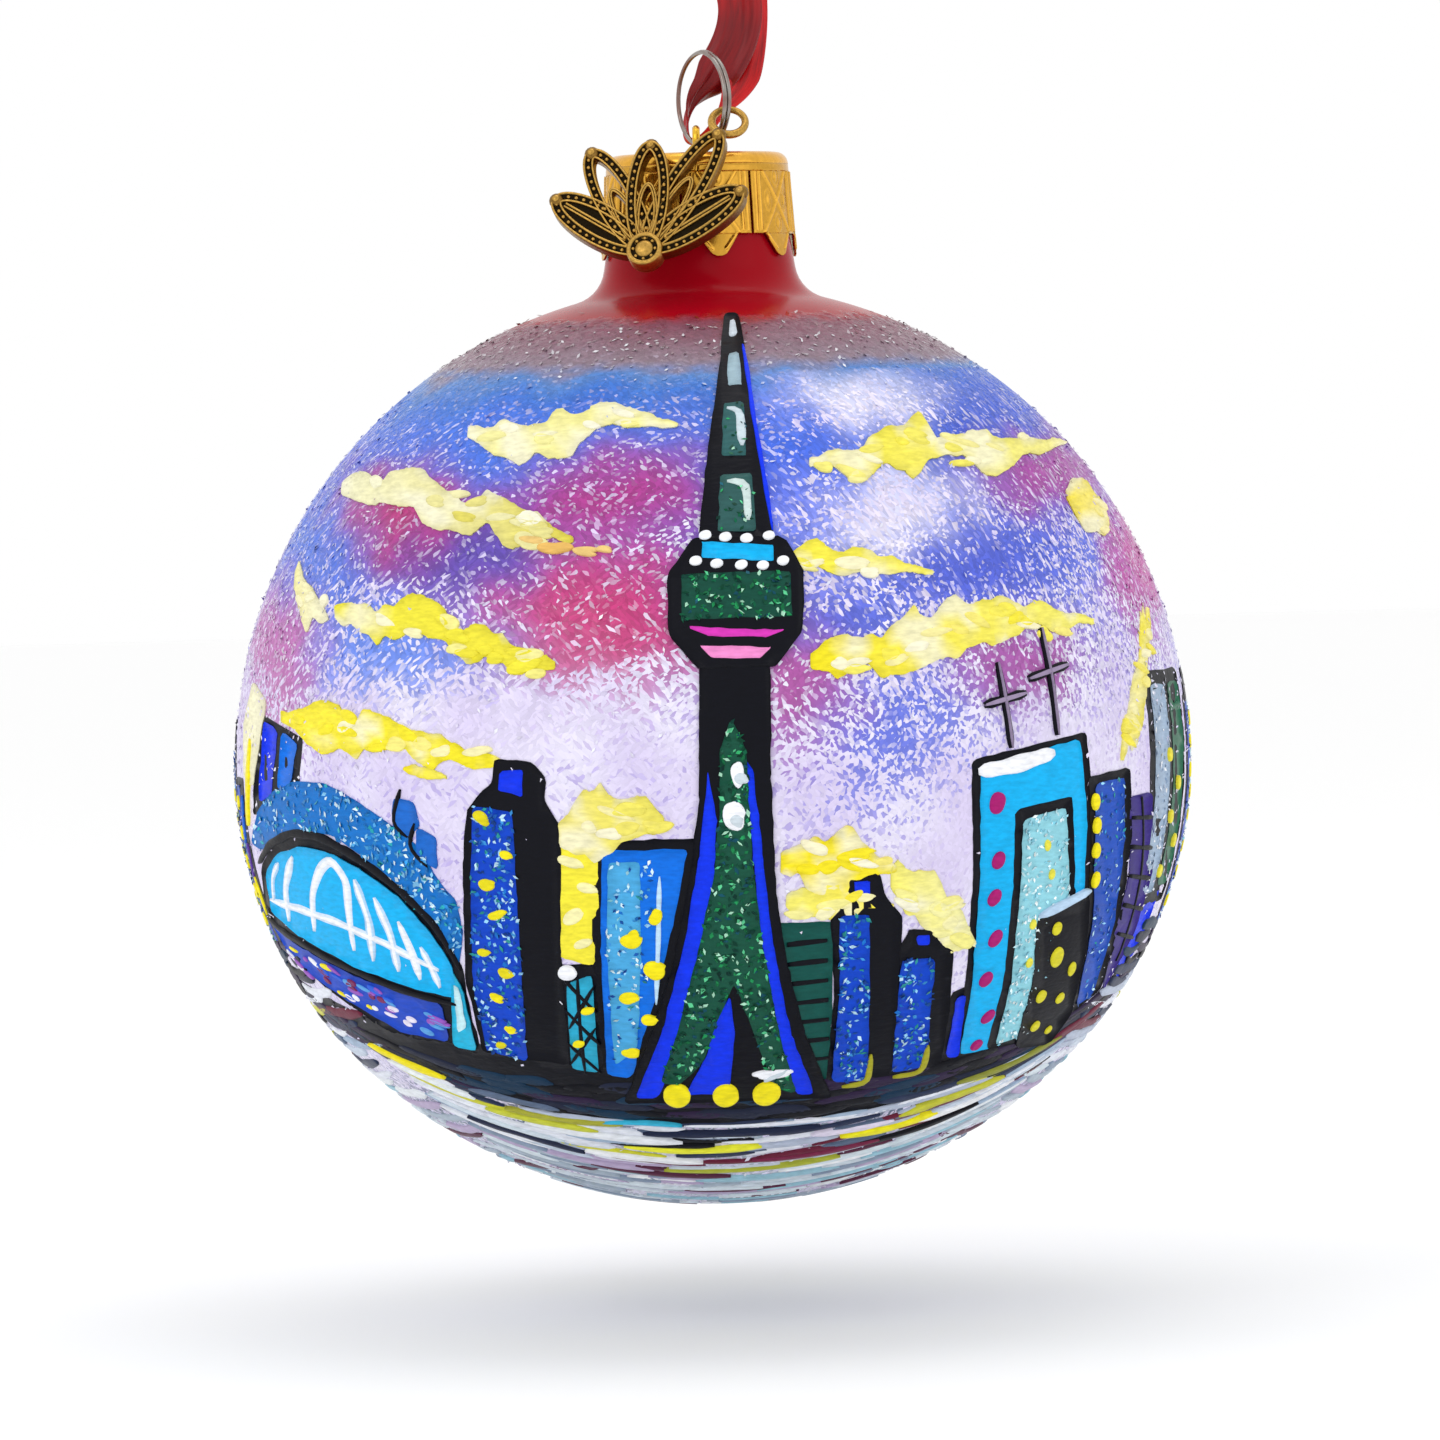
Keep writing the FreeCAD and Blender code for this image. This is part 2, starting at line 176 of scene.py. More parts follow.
bilge_offset = BALL_R - BILGE_R
bottom_r = (bilge_offset ** 2 + BALL_DEPTH ** 2 - BILGE_R ** 2) / (2 * (BALL_DEPTH - BILGE_R))
bottom_z = bottom_r - BALL_DEPTH
low_angle = math.degrees(math.atan2(bottom_z, bilge_offset))
shoulder_z = math.sqrt((BALL_R + SHOULDER_R) ** 2 - SHOULDER_X ** 2)
contact = math.degrees(math.atan2(shoulder_z, SHOULDER_X))
blend = arc((SHOULDER_X, shoulder_z), SHOULDER_R, 180 + contact, 180 + NECK_TAPER, 14)
taper_top = blend[-1, 1] + (blend[-1, 0] - NECK_R) / math.tan(math.radians(NECK_TAPER))
outside = np.vstack([
    arc((0, bottom_z), bottom_r, -90, -low_angle, 70)[:-1],
    arc((bilge_offset, 0), BILGE_R, -low_angle, 0, 50)[:-1],
    arc((0, 0), BALL_R, 0, contact, 90)[:-1],
    blend,
    np.column_stack([
        np.linspace(blend[-1, 0], NECK_R, 8)[1:], np.linspace(blend[-1, 1], taper_top, 8)[1:]]),
    [(NECK_R, taper_top + 2), (NECK_R, MOUTH_Z - GLASS_T / 2)],
])
slope = np.gradient(outside, axis=0)
slope /= np.linalg.norm(slope, axis=1)[:, None]
outward = np.column_stack([slope[:, 1], -slope[:, 0]])      # (r, z) of the normal
elevation = np.arctan2(outside[:, 1], outside[:, 0])        # rises all along the profile
reach = np.hypot(outside[:, 0], outside[:, 1])


def girth(z):
    """The ball's outside radius at a height, in mm."""
    return np.interp(z, outside[:, 1], outside[:, 0])


def settle(points, lift):
    """Puts points down on the glass, then raises them by lift along its normal."""
    points = np.atleast_2d(points).astype(float)
    lon = np.arctan2(points[:, 0], -points[:, 1])
    angle = np.arctan2(points[:, 2], np.hypot(points[:, 0], points[:, 1]))
    far = np.interp(angle, elevation, reach)
    normal_r = np.interp(angle, elevation, outward[:, 0])
    normal_z = np.interp(angle, elevation, outward[:, 1])
    r = far * np.cos(angle) + normal_r * lift
    z = far * np.sin(angle) + normal_z * lift
    return np.column_stack([r * np.sin(lon), -r * np.cos(lon), z])


def glass_normal(points):
    return settle(points, 1.0) - settle(points, 0.0)


SKY_LEVELS = (              # height, colour of the wash, how much of it covers the ground
    (-47, "cfd6de", 0.30), (-38, "9fb0bd", 0.35), (-34, "4a5a78", 0.55), (-29, "b9b4d8", 0.12),
    (-12, "b8aade", 0.10), (2, "b4a8e0", 0.16), (12, "9492e0", 0.34), (20, "6a78de", 0.52),
    (27, "4864d2", 0.70), (35, "3460cc", 0.84), (38, "2468c4", 1.0), (40.4, "4a7cc0", 1.0),
    (41.8, "84707f", 1.02), (45.6, "7c4054", 1.15), (46.5, "a00618", 1.4), (64, "a00618", 1.4),
)
# x and z at the front, half width, half height, colour, and how strongly it is dabbed on;
# below zero, the sponge has lifted the wash and the ground shows.
SKY_PATCHES = (
    (-10, 29, 8, 4, "b02074", 1.5), (-31, 26.5, 6, 4.5, "bc1c60", 1.9),
    (-11, 16, 10, 6, "c4185e", 1.8), (-44, 13, 4, 7, "c45a98", 1.0),
    (35.5, 30, 6, 3.5, "a8308c", 1.2), (45, 21, 3, 7, "c0388c", 1.4),
    (31, 10, 6, 4, "a83c90", 1.0), (9, 9, 5, 6, "b03888", 0.9),
    (-25, 23, 7, 3.5, "4a3da8", 1.4), (28, 36, 9, 4, "2c50c8", 1.0),
    (20, 3, 9, 7, "3c62dc", 0.9), (-30, 12.5, 11, 4, "4a80e6", 0.9),
    (9, 34, 5, 4, "2c60dc", 1.2), (10.5, 27, 5, 5, "3a5ce0", 1.2),
    (27, 20.5, 8, 4, "4256cc", 1.0), (14, 15.5, 6, 3, "4a60d4", 0.8),
    (-19, 33.5, 14, 3.5, "3c70de", 1.0), (-40, 24, 6, 6, "3a74dc", 1.0),
    (16.5, 37, 7, 2.5, "e6e4fb", -1.0), (17, 26, 8, 4, "e6e4fb", -0.9),
    (-20, 7, 16, 6, "dcd0ee", -0.5), (30, -3, 12, 8, "dccdea", -0.5),
)
random.seed(11)
BACK_PATCHES = [
    (random.uniform(-42, 42), random.uniform(2, 36), random.uniform(5, 10),
     random.uniform(3, 6), random.choice(("b02a78", "4a3da8", "3c62dc", "4a80e6")),
     random.choice((-0.8, 1.0, 1.3, 1.6))) for _ in range(26)]
GROUND = np.array(srgb("d6ccec")[:3])       # the lacquer under the wash
SNOW = np.array(srgb("e3def3")[:3])         # where the crushed glass on it lies thickest


def drift(points, size, seed):
    """Smooth noise from -1 to 1 at each point, with features of that size in mm."""
    shift = Vector((seed, seed * 1.7, -seed))
    return np.array([noise.noise(Vector(p) / size + shift) for p in points])


EDGE_DRIFT = 1.6            # mm, size of the drifts that make the edge of a band ragged
BAND_DRIFT = 7.0            # of those that bend a whole band
PATCH_DRIFT = 4.0           # of those that pull a patch out of shape
MAUVE_EDGE = 40.5           # the dabbed patches stop at this level
PATCH_FALL = 1.3            # how fast a patch thins out away from its middle
PATCH_WEIGHT = 2.6          # its colour, against 0.5 for the band that it lies on
PATCH_COVER = 0.55          # what a patch adds to the cover, which stays between the next two
COVER_LEAST = 0.04
COVER_MOST = 0.88
FADE_TO_BACK = 14.0         # mm, front and back patches blend over this round each side


def wash_at(points):
    """Colour of the wash, its cover, and colour of the ground, at points on the glass."""
    ragged = drift(points, EDGE_DRIFT, 3)
    wide = drift(points, BAND_DRIFT, 9)
    x = points[:, 0] + 2.2 * drift(points, PATCH_DRIFT, 5)
    z = points[:, 2] + 1.6 * drift(points, PATCH_DRIFT, 7)
    level = points[:, 2] + 0.5 * ragged + np.where(points[:, 2] < 41, 2.5, 0.3) * wide
    heights = [entry[0] for entry in SKY_LEVELS]
    washes = np.array([srgb(entry[1])[:3] for entry in SKY_LEVELS])
    colour = np.column_stack([np.interp(level, heights, washes[:, k]) for k in range(3)])
    cover = np.interp(level, heights, [entry[2] for entry in SKY_LEVELS])
    weight = np.full(len(points), 0.5)
    total = colour * weight[:, None]
    to_back = np.clip(0.5 + points[:, 1] / FADE_TO_BACK, 0, 1)
    for patches, side in ((SKY_PATCHES, 1 - to_back), (BACK_PATCHES, to_back)):
        for patch_x, patch_z, half_w, half_h, code, strength in patches:
            away = ((x - patch_x) / half_w) ** 2 + ((z - patch_z) / half_h) ** 2
            share = strength * np.exp(-PATCH_FALL * away) * side * (points[:, 2] < MAUVE_EDGE)
            total += np.array(srgb(code)[:3]) * (PATCH_WEIGHT * abs(share))[:, None]
            weight += PATCH_WEIGHT * abs(share)
            thickest = np.maximum(cover, COVER_MOST)
            cover = np.clip(cover + PATCH_COVER * share, COVER_LEAST, thickest)
    ground = GROUND + (SNOW - GROUND) * np.clip(0.5 + 1.2 * wide, 0, 1)[:, None]
    return total / weight[:, None], cover, ground


def travel_along(path):
    """Distance along a path to each of its points."""
    return np.concatenate([[0], np.cumsum(np.linalg.norm(np.diff(path, axis=0), axis=1))])


def grid_faces(rows, cols, wrap):
    """Quads of a grid of points; with wrap, the last column joins the first."""
    last = cols if wrap else cols - 1
    return [
        (row * cols + col, row * cols + (col + 1) % cols,
         (row + 1) * cols + (col + 1) % cols, (row + 1) * cols + col)
        for row in range(rows - 1) for col in range(last)]


def make_piece(name, points, faces, material, body, colours=None, smooth=True):
    """One mesh from points in mm about the ball's centre, with its material, on its body."""
    mesh = bpy.data.meshes.new(name)
    places = np.asarray(points, float) * MM + np.array(BALL_CENTRE)
    mesh.from_pydata(places.tolist(), [], faces)
    for layer, values in (colours or {}).items():
        attribute = mesh.color_attributes.new(layer, "FLOAT_COLOR", "POINT")
        attribute.data.foreach_set("color", np.asarray(values, np.float32).ravel())
    mesh.polygons.foreach_set("use_smooth", [smooth] * len(mesh.polygons))
    mesh.materials.append(material)
    mesh.validate()
    piece = bpy.data.objects.new(name, mesh)
    bpy.context.collection.objects.link(piece)
    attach(piece, body)
    return piece


# Sponged acrylic wash over crushed glass: angular flecks of two colours, half of them
# glossy, so the sky breaks up into glints. The neck is plain satin red lacquer.
sky_wash, tree = start_material("sponged_wash_on_crushed_glass")
FLECK = (0.85 * MM, 0.33 * MM)          # length and width of a fleck
PATCH_OF_FLECKS = 1.2 * MM              # flecks lie the same way over this distance
place = add(tree, "ShaderNodeTexCoord").outputs["Object"]
lays = []
for turn in (0.62, -0.75):
    turned = add(tree, "ShaderNodeVectorRotate", {
        "Vector": place, "Rotation": (0.35 * turn, turn, 0.5)}, rotation_type="EULER_XYZ")
    stretched = add(tree, "ShaderNodeMapping", {
        "Vector": turned.outputs[0], "Scale": (1 / FLECK[0], 1 / FLECK[1], 1 / FLECK[1])})
    cells = add(tree, "ShaderNodeTexVoronoi", {"Vector": stretched.outputs[0], "Scale": 1.0})
    lays.append(cells.outputs["Color"])
patch_cells = add(tree, "ShaderNodeTexVoronoi", {"Vector": place, "Scale": 1 / PATCH_OF_FLECKS})
patch_side = add(tree, "ShaderNodeMath", {
    0: add(tree, "ShaderNodeSeparateColor", {"Color": patch_cells.outputs["Color"]}).outputs[0],
    1: 0.5}, operation="GREATER_THAN")
fleck = add(tree, "ShaderNodeMix", {
    "Factor": patch_side.outputs[0], 6: lays[0], 7: lays[1]}, data_type="RGBA")
fleck_parts = add(tree, "ShaderNodeSeparateColor", {"Color": fleck.outputs[2]})
wash = add(tree, "ShaderNodeAttribute", attribute_name="wash")
ground = add(tree, "ShaderNodeAttribute", attribute_name="ground")
past_cover = add(tree, "ShaderNodeMath", {
    0: wash.outputs["Alpha"], 1: fleck_parts.outputs[0]}, operation="SUBTRACT")
covered = add(tree, "ShaderNodeMapRange", {
    "Value": past_cover.outputs[0], "From Min": -0.16, "From Max": 0.1})
two_tone = add(tree, "ShaderNodeMix", {
    "Factor": covered.outputs[0], 6: ground.outputs["Color"], 7: wash.outputs["Color"]},
    data_type="RGBA")
# Painted glints and painted shade: each fleck is made lighter or darker at random, as though it caught
# the light its own way, but only where there is grit.
shade = add(tree, "ShaderNodeMapRange", {
    "Value": fleck_parts.outputs[1], "To Min": 0.80, "To Max": 1.16})
grit = ground.outputs["Alpha"]
fleck_glint_and_shade = add(tree, "ShaderNodeMix", {"Factor": grit, 2: 1.0, 3: shade.outputs[0]})
toned = add(tree, "ShaderNodeVectorMath", {
    0: two_tone.outputs[2], "Scale": fleck_glint_and_shade.outputs[0]}, operation="SCALE")
gloss = add(tree, "ShaderNodeMapRange", {
    "Value": fleck_parts.outputs[2], "To Min": 0.2, "To Max": 0.62})
gloss_by_grit = add(tree, "ShaderNodeMix", {"Factor": grit, 2: 0.22, 3: gloss.outputs[0]})
fleck_height = add(tree, "ShaderNodeMath", {0: fleck_parts.outputs[0], 1: grit},
                   operation="MULTIPLY")
fleck_bump = add(tree, "ShaderNodeBump", {
    "Height": fleck_height.outputs[0], "Strength": 0.7, "Distance": 0.12 * MM})
glint = add(tree, "ShaderNodeMapRange", {"Value": grit, "To Min": 0.08, "To Max": 0.35})
finish_material(tree, {
    "Base Color": toned.outputs[0], "Roughness": gloss_by_grit.outputs[0],
    "Specular IOR Level": glint.outputs[0], "Normal": fleck_bump.outputs[0]})

BALL_COLUMNS = 300
BALL_ROWS = 230
INNER_SKIP = 6              # the inside, unseen, takes one in so many points of the profile
NECK_LACQUER_Z = 46.4       # above this the red lacquer is clean
along = travel_along(outside)
even = np.linspace(0.15, along[-1], BALL_ROWS)
outer_wall = np.column_stack([np.interp(even, along, outside[:, k]) for k in range(2)])
lip_turn = arc((NECK_R - GLASS_T / 2, MOUTH_Z - GLASS_T / 2), GLASS_T / 2, 0, 180, 9)[1:]
inner_wall = (outside - GLASS_T * outward)[-1:0:-INNER_SKIP]
section = np.vstack([outer_wall, lip_turn, inner_wall[1:]])
turns = np.linspace(0, 2 * math.pi, BALL_COLUMNS, endpoint=False)
ball_points = np.stack([
    section[:, :1] * np.sin(turns), -section[:, :1] * np.cos(turns),
    np.repeat(section[:, 1:], BALL_COLUMNS, axis=1)], axis=2).reshape(-1, 3)
ball_faces = grid_faces(len(section), BALL_COLUMNS, wrap=True)
ball_faces.append(tuple(range(BALL_COLUMNS))[::-1])
last_row = (len(section) - 1) * BALL_COLUMNS
ball_faces.append(tuple(range(last_row, last_row + BALL_COLUMNS)))
wash_colour, wash_cover, ground_colour = wash_at(ball_points)
grit_at = np.where(ball_points[:, 2] + 0.6 * drift(ball_points, 1.2, 2) > NECK_LACQUER_Z, 0.0, 1.0)
# The pale low sky is smoother: the glass lies thin there.
grit_at *= np.interp(ball_points[:, 2], (-34, -30, 2, 14), (1.0, 0.35, 0.35, 1.0))
glass_ball = make_piece(
    "painted_glass_ball", ball_points, ball_faces, sky_wash, "ball",
    {"wash": np.column_stack([wash_colour, wash_cover]),
     "ground": np.column_stack([ground_colour, grit_at])})
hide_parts("glass_ball")

# ==== Clouds ====================================================================
# Thick acrylic clouds, laid over the sky with a flat brush in short overlapping dabs.
# They are yellow where the sun is, and tipped with cream and white.


class Coat:
    """Brush marks gathered into one piece; points are in mm about the ball's centre."""

    def __init__(self):
        self.points = []
        self.tints = []
        self.faces = []
        self.count = 0

    def put(self, points, faces, tint):
        """tint is a hex value, one linear colour, or a linear colour for each point."""
        tint = srgb(tint) if isinstance(tint, str) else tint
        self.faces += [tuple(int(corner) + self.count for corner in face) for face in faces]
        self.points.append(np.asarray(points, float))
        self.tints.append(np.broadcast_to(np.asarray(tint, float), (len(points), 4)))
        self.count += len(points)

    def piece(self, name, material, body, slot, smooth=True):
        return make_piece(
            name, np.vstack(self.points), self.faces, material, body,
            {"tint": np.vstack(self.tints)}, smooth)


def at_front(points, turn=0.0):
    """Points (x, z) seen from the front, on the glass; turn carries them round the ball."""
    points = np.atleast_2d(points).astype(float)
    across = np.clip(points[:, 0] / girth(points[:, 1]), -LIMB, LIMB)
    lon = np.arcsin(across) + turn
    r = girth(points[:, 1])
    return np.column_stack([r * np.sin(lon), -r * np.cos(lon), points[:, 1]])


PAINT_T = 0.07              # mm, one coat of acrylic
FIRST_COAT = 0.05
SUNK = -0.06                # the edge of a mark sinks this far into the lacquer
LIMB = 0.995                # a mark reaches this share of the way to the outline of the ball
OUTLINE_STEP = 0.9          # mm between the points round a filled area
FIELD_STEP = 1.2            # and between those inside it
FIELD_GAP = 0.45            # which keep this far from its edge
BODY = 0.05                 # a filled area is this much thicker inside than at its edge


def height_of(layer):
    return FIRST_COAT + PAINT_T * layer


def mix(code, other, share):
    """A colour part of the way between two hex values."""
    return tuple(a + (b - a) * share for a, b in zip(srgb(code), srgb(other)))


def dab(coat, centre, width, height, lean, tint, layer, turn=0.0, ragged=0.08):
    """One oval press of the brush, thickest just inside its edge."""
    middle = at_front([centre], turn)[0]
    outwards = glass_normal(middle)[0]
    east = np.cross((0, 0, 1), outwards)
    east /= np.linalg.norm(east)
    north = np.cross(outwards, east)
    angles = np.linspace(0, 2 * math.pi, 22, endpoint=False)
    wobble = 1 + ragged * np.interp(
        angles, np.linspace(0, 2 * math.pi, 8), [random.uniform(-1, 1) for _ in range(7)] + [0])
    top = height_of(layer)
    rings = []
    for share, lift in ((1.0, SUNK), (0.97, top), (0.8, top + 0.09), (0.45, top + 0.07)):
        x = width / 2 * share * wobble * np.cos(angles)
        z = height / 2 * share * wobble * np.sin(angles)
        spun_x = x * math.cos(lean) - z * math.sin(lean)
        spun_z = x * math.sin(lean) + z * math.cos(lean)
        rings.append(settle(middle + spun_x[:, None] * east + spun_z[:, None] * north, lift))
    points = np.vstack(rings + [settle(middle, top + 0.06)])
    faces = grid_faces(len(rings), len(angles), wrap=True)
    first = (len(rings) - 1) * len(angles)
    faces += [
        (first + k, first + (k + 1) % len(angles), len(points) - 1) for k in range(len(angles))]
    coat.put(points, faces, tint)


def stroke(coat, path, width, tint, layer, turn=0.0, tips=0.35, spatial=False):
    """A line of the brush along a path; tips is its width at the ends, as a share."""
    path = np.asarray(path, float) if spatial else at_front(path, turn)
    length = travel_along(path)
    steps = max(4, int(length[-1] / 0.7))
    travel = np.linspace(0, length[-1], steps)
    line = np.column_stack([np.interp(travel, length, path[:, k]) for k in range(3)])
    for _ in range(2):
        line[1:-1] = (line[:-2] + 2 * line[1:-1] + line[2:]) / 4
    ahead = np.gradient(line, axis=0)
    side = np.cross(ahead, glass_normal(line))
    side /= np.linalg.norm(side, axis=1)[:, None] + 1e-9
    share = np.linspace(0, 1, steps)
    taper = tips + (1 - tips) * np.sqrt(np.clip(np.minimum(share, 1 - share) * 6, 0, 1))
    sway = 1 + 0.12 * np.sin(travel * random.uniform(0.8, 1.6) + random.uniform(0, 6))
    half = (width / 2 * taper * sway)[:, None]
    top = height_of(layer)
    rails = [(-1.0, SUNK), (-0.94, top), (-0.5, top + PAINT_T), (0.5, top + PAINT_T),
             (0.94, top), (1.0, SUNK)]
    points = np.stack([settle(line + side * half * at, lift) for at, lift in rails], axis=1)
    faces = grid_faces(steps, len(rails), wrap=False)
    end = (steps - 1) * len(rails)
    faces += [tuple(range(len(rails)))[::-1], tuple(range(end, end + len(rails)))]
    coat.put(points.reshape(-1, 3), faces, tint)


def outline_points(corners, corner_cut=0.5):
    """A closed outline with its corners brushed round, and points along its sides."""
    corners = np.asarray(corners, float)
    before = np.roll(corners, 1, axis=0) - corners
    after = np.roll(corners, -1, axis=0) - corners
    rounded = []
    for corner, back, on in zip(corners, before, after):
        cut_back = back * min(0.3, corner_cut / (np.linalg.norm(back) + 1e-9))
        cut_on = on * min(0.3, corner_cut / (np.linalg.norm(on) + 1e-9))
        rounded += [corner + cut_back, corner + 0.25 * (cut_back + cut_on), corner + cut_on]
    points = []
    for start, end in zip(rounded, rounded[1:] + rounded[:1]):
        count = max(1, int(np.linalg.norm(end - start) / OUTLINE_STEP))
        for number in range(count):
            spot = start + (end - start) * number / count
            points.append(spot + np.array([random.gauss(0, 0.04), random.gauss(0, 0.04)]))
    return np.array(points)


def inside(points, outline):
    """Which points lie inside a closed outline."""
    within = np.zeros(len(points), bool)
    for (ax, az), (bx, bz) in zip(outline, np.roll(outline, -1, axis=0)):
        crosses = (az > points[:, 1]) != (bz > points[:, 1])
        rise = bz - az if bz != az else 1e-9
        within ^= crosses & (points[:, 0] < ax + (points[:, 1] - az) * (bx - ax) / rise)
    return within


def fill(coat, corners, tint, layer, turn=0.0, corner_cut=0.5):
    """An area filled with the brush: flat, with a rounded edge."""
    outline = outline_points(corners, corner_cut)
    low, high = outline.min(axis=0), outline.max(axis=0)
    across, level = np.meshgrid(
        np.arange(low[0] + 0.5, high[0], FIELD_STEP), np.arange(low[1] + 0.5, high[1], FIELD_STEP))
    field = np.column_stack([across.ravel(), level.ravel()])
    if len(field):
        field = field[inside(field, outline)]
        gaps = np.linalg.norm(field[:, None] - outline[None], axis=2).min(axis=1)
        field = field[gaps > FIELD_GAP]
    flat = [Vector(point) for point in np.vstack([outline, field])]
    ring = list(range(len(outline)))
    points, _, faces, *_ = delaunay_2d_cdt(flat, [], [ring], 1, 1e-5)
    points = np.array(points)
    front = at_front(points, turn)
    top = height_of(layer)
    edge = np.zeros(len(points), bool)
    edge[:len(outline)] = True
    raised = np.where(edge, top, top + BODY)[:, None]
    skirt = settle(front[:len(outline)], SUNK)
    faces = [tuple(face) for face in faces]
    first = len(points)
    count = len(outline)
    faces += [
        (first + k, first + (k + 1) % count, (k + 1) % count, k) for k in range(count)]
    if callable(tint):
        tint = np.array(tint(points))
        tint = np.vstack([tint, tint[:count]])
    coat.put(np.vstack([settle(front, raised[:, 0]), skirt]), faces, tint)


def patterned_tint(tree, pattern, low, high, reach=(0.0, 1.0)):
    """The tint of each point, made darker and lighter by a pattern."""
    shade = add(tree, "ShaderNodeMapRange", {
        "Value": pattern, "From Min": reach[0], "From Max": reach[1], "To Min": low,
        "To Max": high})
    tint = add(tree, "ShaderNodeAttribute", attribute_name="tint")
    return add(tree, "ShaderNodeVectorMath", {
        0: tint.outputs["Color"], "Scale": shade.outputs[0]}, operation="SCALE").outputs[0]


# Artist's acrylic, brushed on thick: a satin film with bristle marks and small lumps.
acrylic, tree = start_material("brushed_acrylic_paint")
BRISTLE = 0.35 * MM
place = add(tree, "ShaderNodeTexCoord").outputs["Object"]
drawn_out = add(tree, "ShaderNodeMapping", {
    "Vector": place, "Scale": (0.3 / BRISTLE, 0.3 / BRISTLE, 1 / BRISTLE)})
bristles = add(tree, "ShaderNodeTexNoise", {
    "Vector": drawn_out.outputs[0], "Scale": 1.0, "Detail": 3.0})
lumps = add(tree, "ShaderNodeTexNoise", {"Vector": place, "Scale": 1 / (2.2 * MM), "Detail": 2.0})
brushed_tint = patterned_tint(tree, bristles.outputs[0], 0.84, 1.14, (0.25, 0.75))
relief = add(tree, "ShaderNodeMath", {0: bristles.outputs[0], 1: lumps.outputs[0]},
             operation="ADD")
brush_bump = add(tree, "ShaderNodeBump", {
    "Height": relief.outputs[0], "Strength": 0.5, "Distance": 0.12 * MM})
film = add(tree, "ShaderNodeMapRange", {
    "Value": lumps.outputs[0], "To Min": 0.32, "To Max": 0.55})
finish_material(tree, {
    "Base Color": brushed_tint, "Roughness": film.outputs[0],
    "Specular IOR Level": 0.12, "Normal": brush_bump.outputs[0]})

CLOUDS = (                  # middle line of each cloud, its thickness, and its colour at each end
    (((-24, 35), (-19, 34.3), (-14, 34.8), (-8, 35.8), (-1.8, 35.2)), 3.6, "ece6a0", "ebe58a"),
    (((-37.5, 29.5), (-31, 30), (-26, 28), (-20, 25.8), (-13, 24)), 4.6, "ebe8c0", "d8cc48"),
    (((-42.5, 20), (-41, 17.5), (-38, 16.2)), 7.0, "eee6a4", "f0ecc8"),
    (((-38, 17), (-33, 16.8), (-28, 15.6), (-23, 13.6), (-15, 11.6)), 5.6, "ece23c", "e8dc3c"),
    (((-44, 6), (-39, 5.4), (-33, 4.8), (-27, 3), (-20.5, 2)), 4.8, "f4e63c", "f0e224"),
    (((-15.5, -5), (-10, -3.8), (-4, -4.2)), 6.0, "ece070", "e8de60"),
    (((10.5, 31), (16, 31), (22, 33), (29, 31.4), (38.5, 32.4)), 5.0, "ece028", "ece484"),
    (((7.5, 21.8), (14, 21), (23.5, 19.6)), 3.0, "f0e440", "f0e65c"),
    (((10, 11.2), (17, 12), (23, 14.2), (30, 15), (39.5, 14)), 4.8, "f0e01c", "f0e870"),
    (((37, 27), (39.5, 26), (42, 24)), 5.4, "f0dc30", "ece08c"),
    (((45.5, 14), (44, 7), (41.5, 0)), 7.0, "f0e23c", "ece06c"),
    (((6.5, -8.5), (12, -8.5), (18.5, -9.5)), 6.4, "f2e01c", "f0e02c"),
    (((17.5, -11), (21.5, -13.5), (26.5, -18)), 7.0, "f2ea70", "f2eeb0"),
    (((7, -12.4), (12, -12.8), (18, -13.4)), 4.4, "f2ea70", "f2e024"),
    (((-31, 1.4), (-28.6, 1.1), (-26.4, 0.6)), 1.4, "f2e024", "f0e65c"),
)


def cloud(coat, line, thick, start, end, turn=0.0):
    """A ragged flat-brushed shape along a line, with a few thick dabs over it."""
    line = np.asarray(line, float)
    length = travel_along(line)
    travel = np.arange(0, length[-1], 0.9)
    middle = np.column_stack([np.interp(travel, length, line[:, k]) for k in range(2)])
    share = travel / travel[-1]
    swell = thick / 2 * np.interp(share, (0, 0.12, 0.4, 0.75, 1), (0.3, 0.75, 1.0, 0.7, 0.12))
    seed = Vector((line[0, 0], line[0, 1], 0.5))
    rough = [
        [noise.noise(Vector((s * 0.34, side * 9, 0)) + seed) * 1.0
         + noise.noise(Vector((s * 1.1, side * 9, 4)) + seed) * 0.5 for s in travel]
        for side in (1, 2)]
    upper = middle + np.column_stack([0 * travel, swell * (1 + np.array(rough[0]))])
    lower = middle - np.column_stack([0 * travel, swell * (0.8 + np.array(rough[1]))])

    def shade(points):
        """From one colour to the other along the cloud, in uneven brushfuls."""
        along = np.interp(points[:, 0], *zip(*sorted(zip(middle[:, 0], share))))
        patch = np.array([noise.noise(Vector((*point, 0)) / 2.6 + seed) for point in points])
        pale = np.clip(2.2 * patch, 0, 0.75)[:, None]
        mixed = np.array(srgb(start)) + np.outer(along, np.array(srgb(end)) - np.array(srgb(start)))
        return mixed + (np.array(srgb("f0edd4")) - mixed) * pale

    fill(coat, np.vstack([upper, lower[::-1]]), shade, 1, turn, 0.3)
    for _ in range(int(length[-1] * thick / 9)):
        at = random.uniform(0.05, 0.9) * length[-1]
        x, z = (np.interp(at, length, line[:, k]) for k in range(2))
        room = thick * 0.3
        dab(coat, (x, z + random.uniform(-room, room)), random.uniform(1.8, 3.6),
            random.uniform(0.8, 1.5), random.uniform(-0.5, 0.3),
            mix(start, random.choice((end, "f2efdc")), random.uniform(0.2, 0.9)), 2, turn, 0.3)


random.seed(21)
cloud_paint = Coat()
for line, thick, start, end in CLOUDS:
    cloud(cloud_paint, line, thick, start, end)
for line, thick, start, end in CLOUDS[:5] + CLOUDS[6:9]:
    cloud(cloud_paint, line, thick, start, end, math.pi)
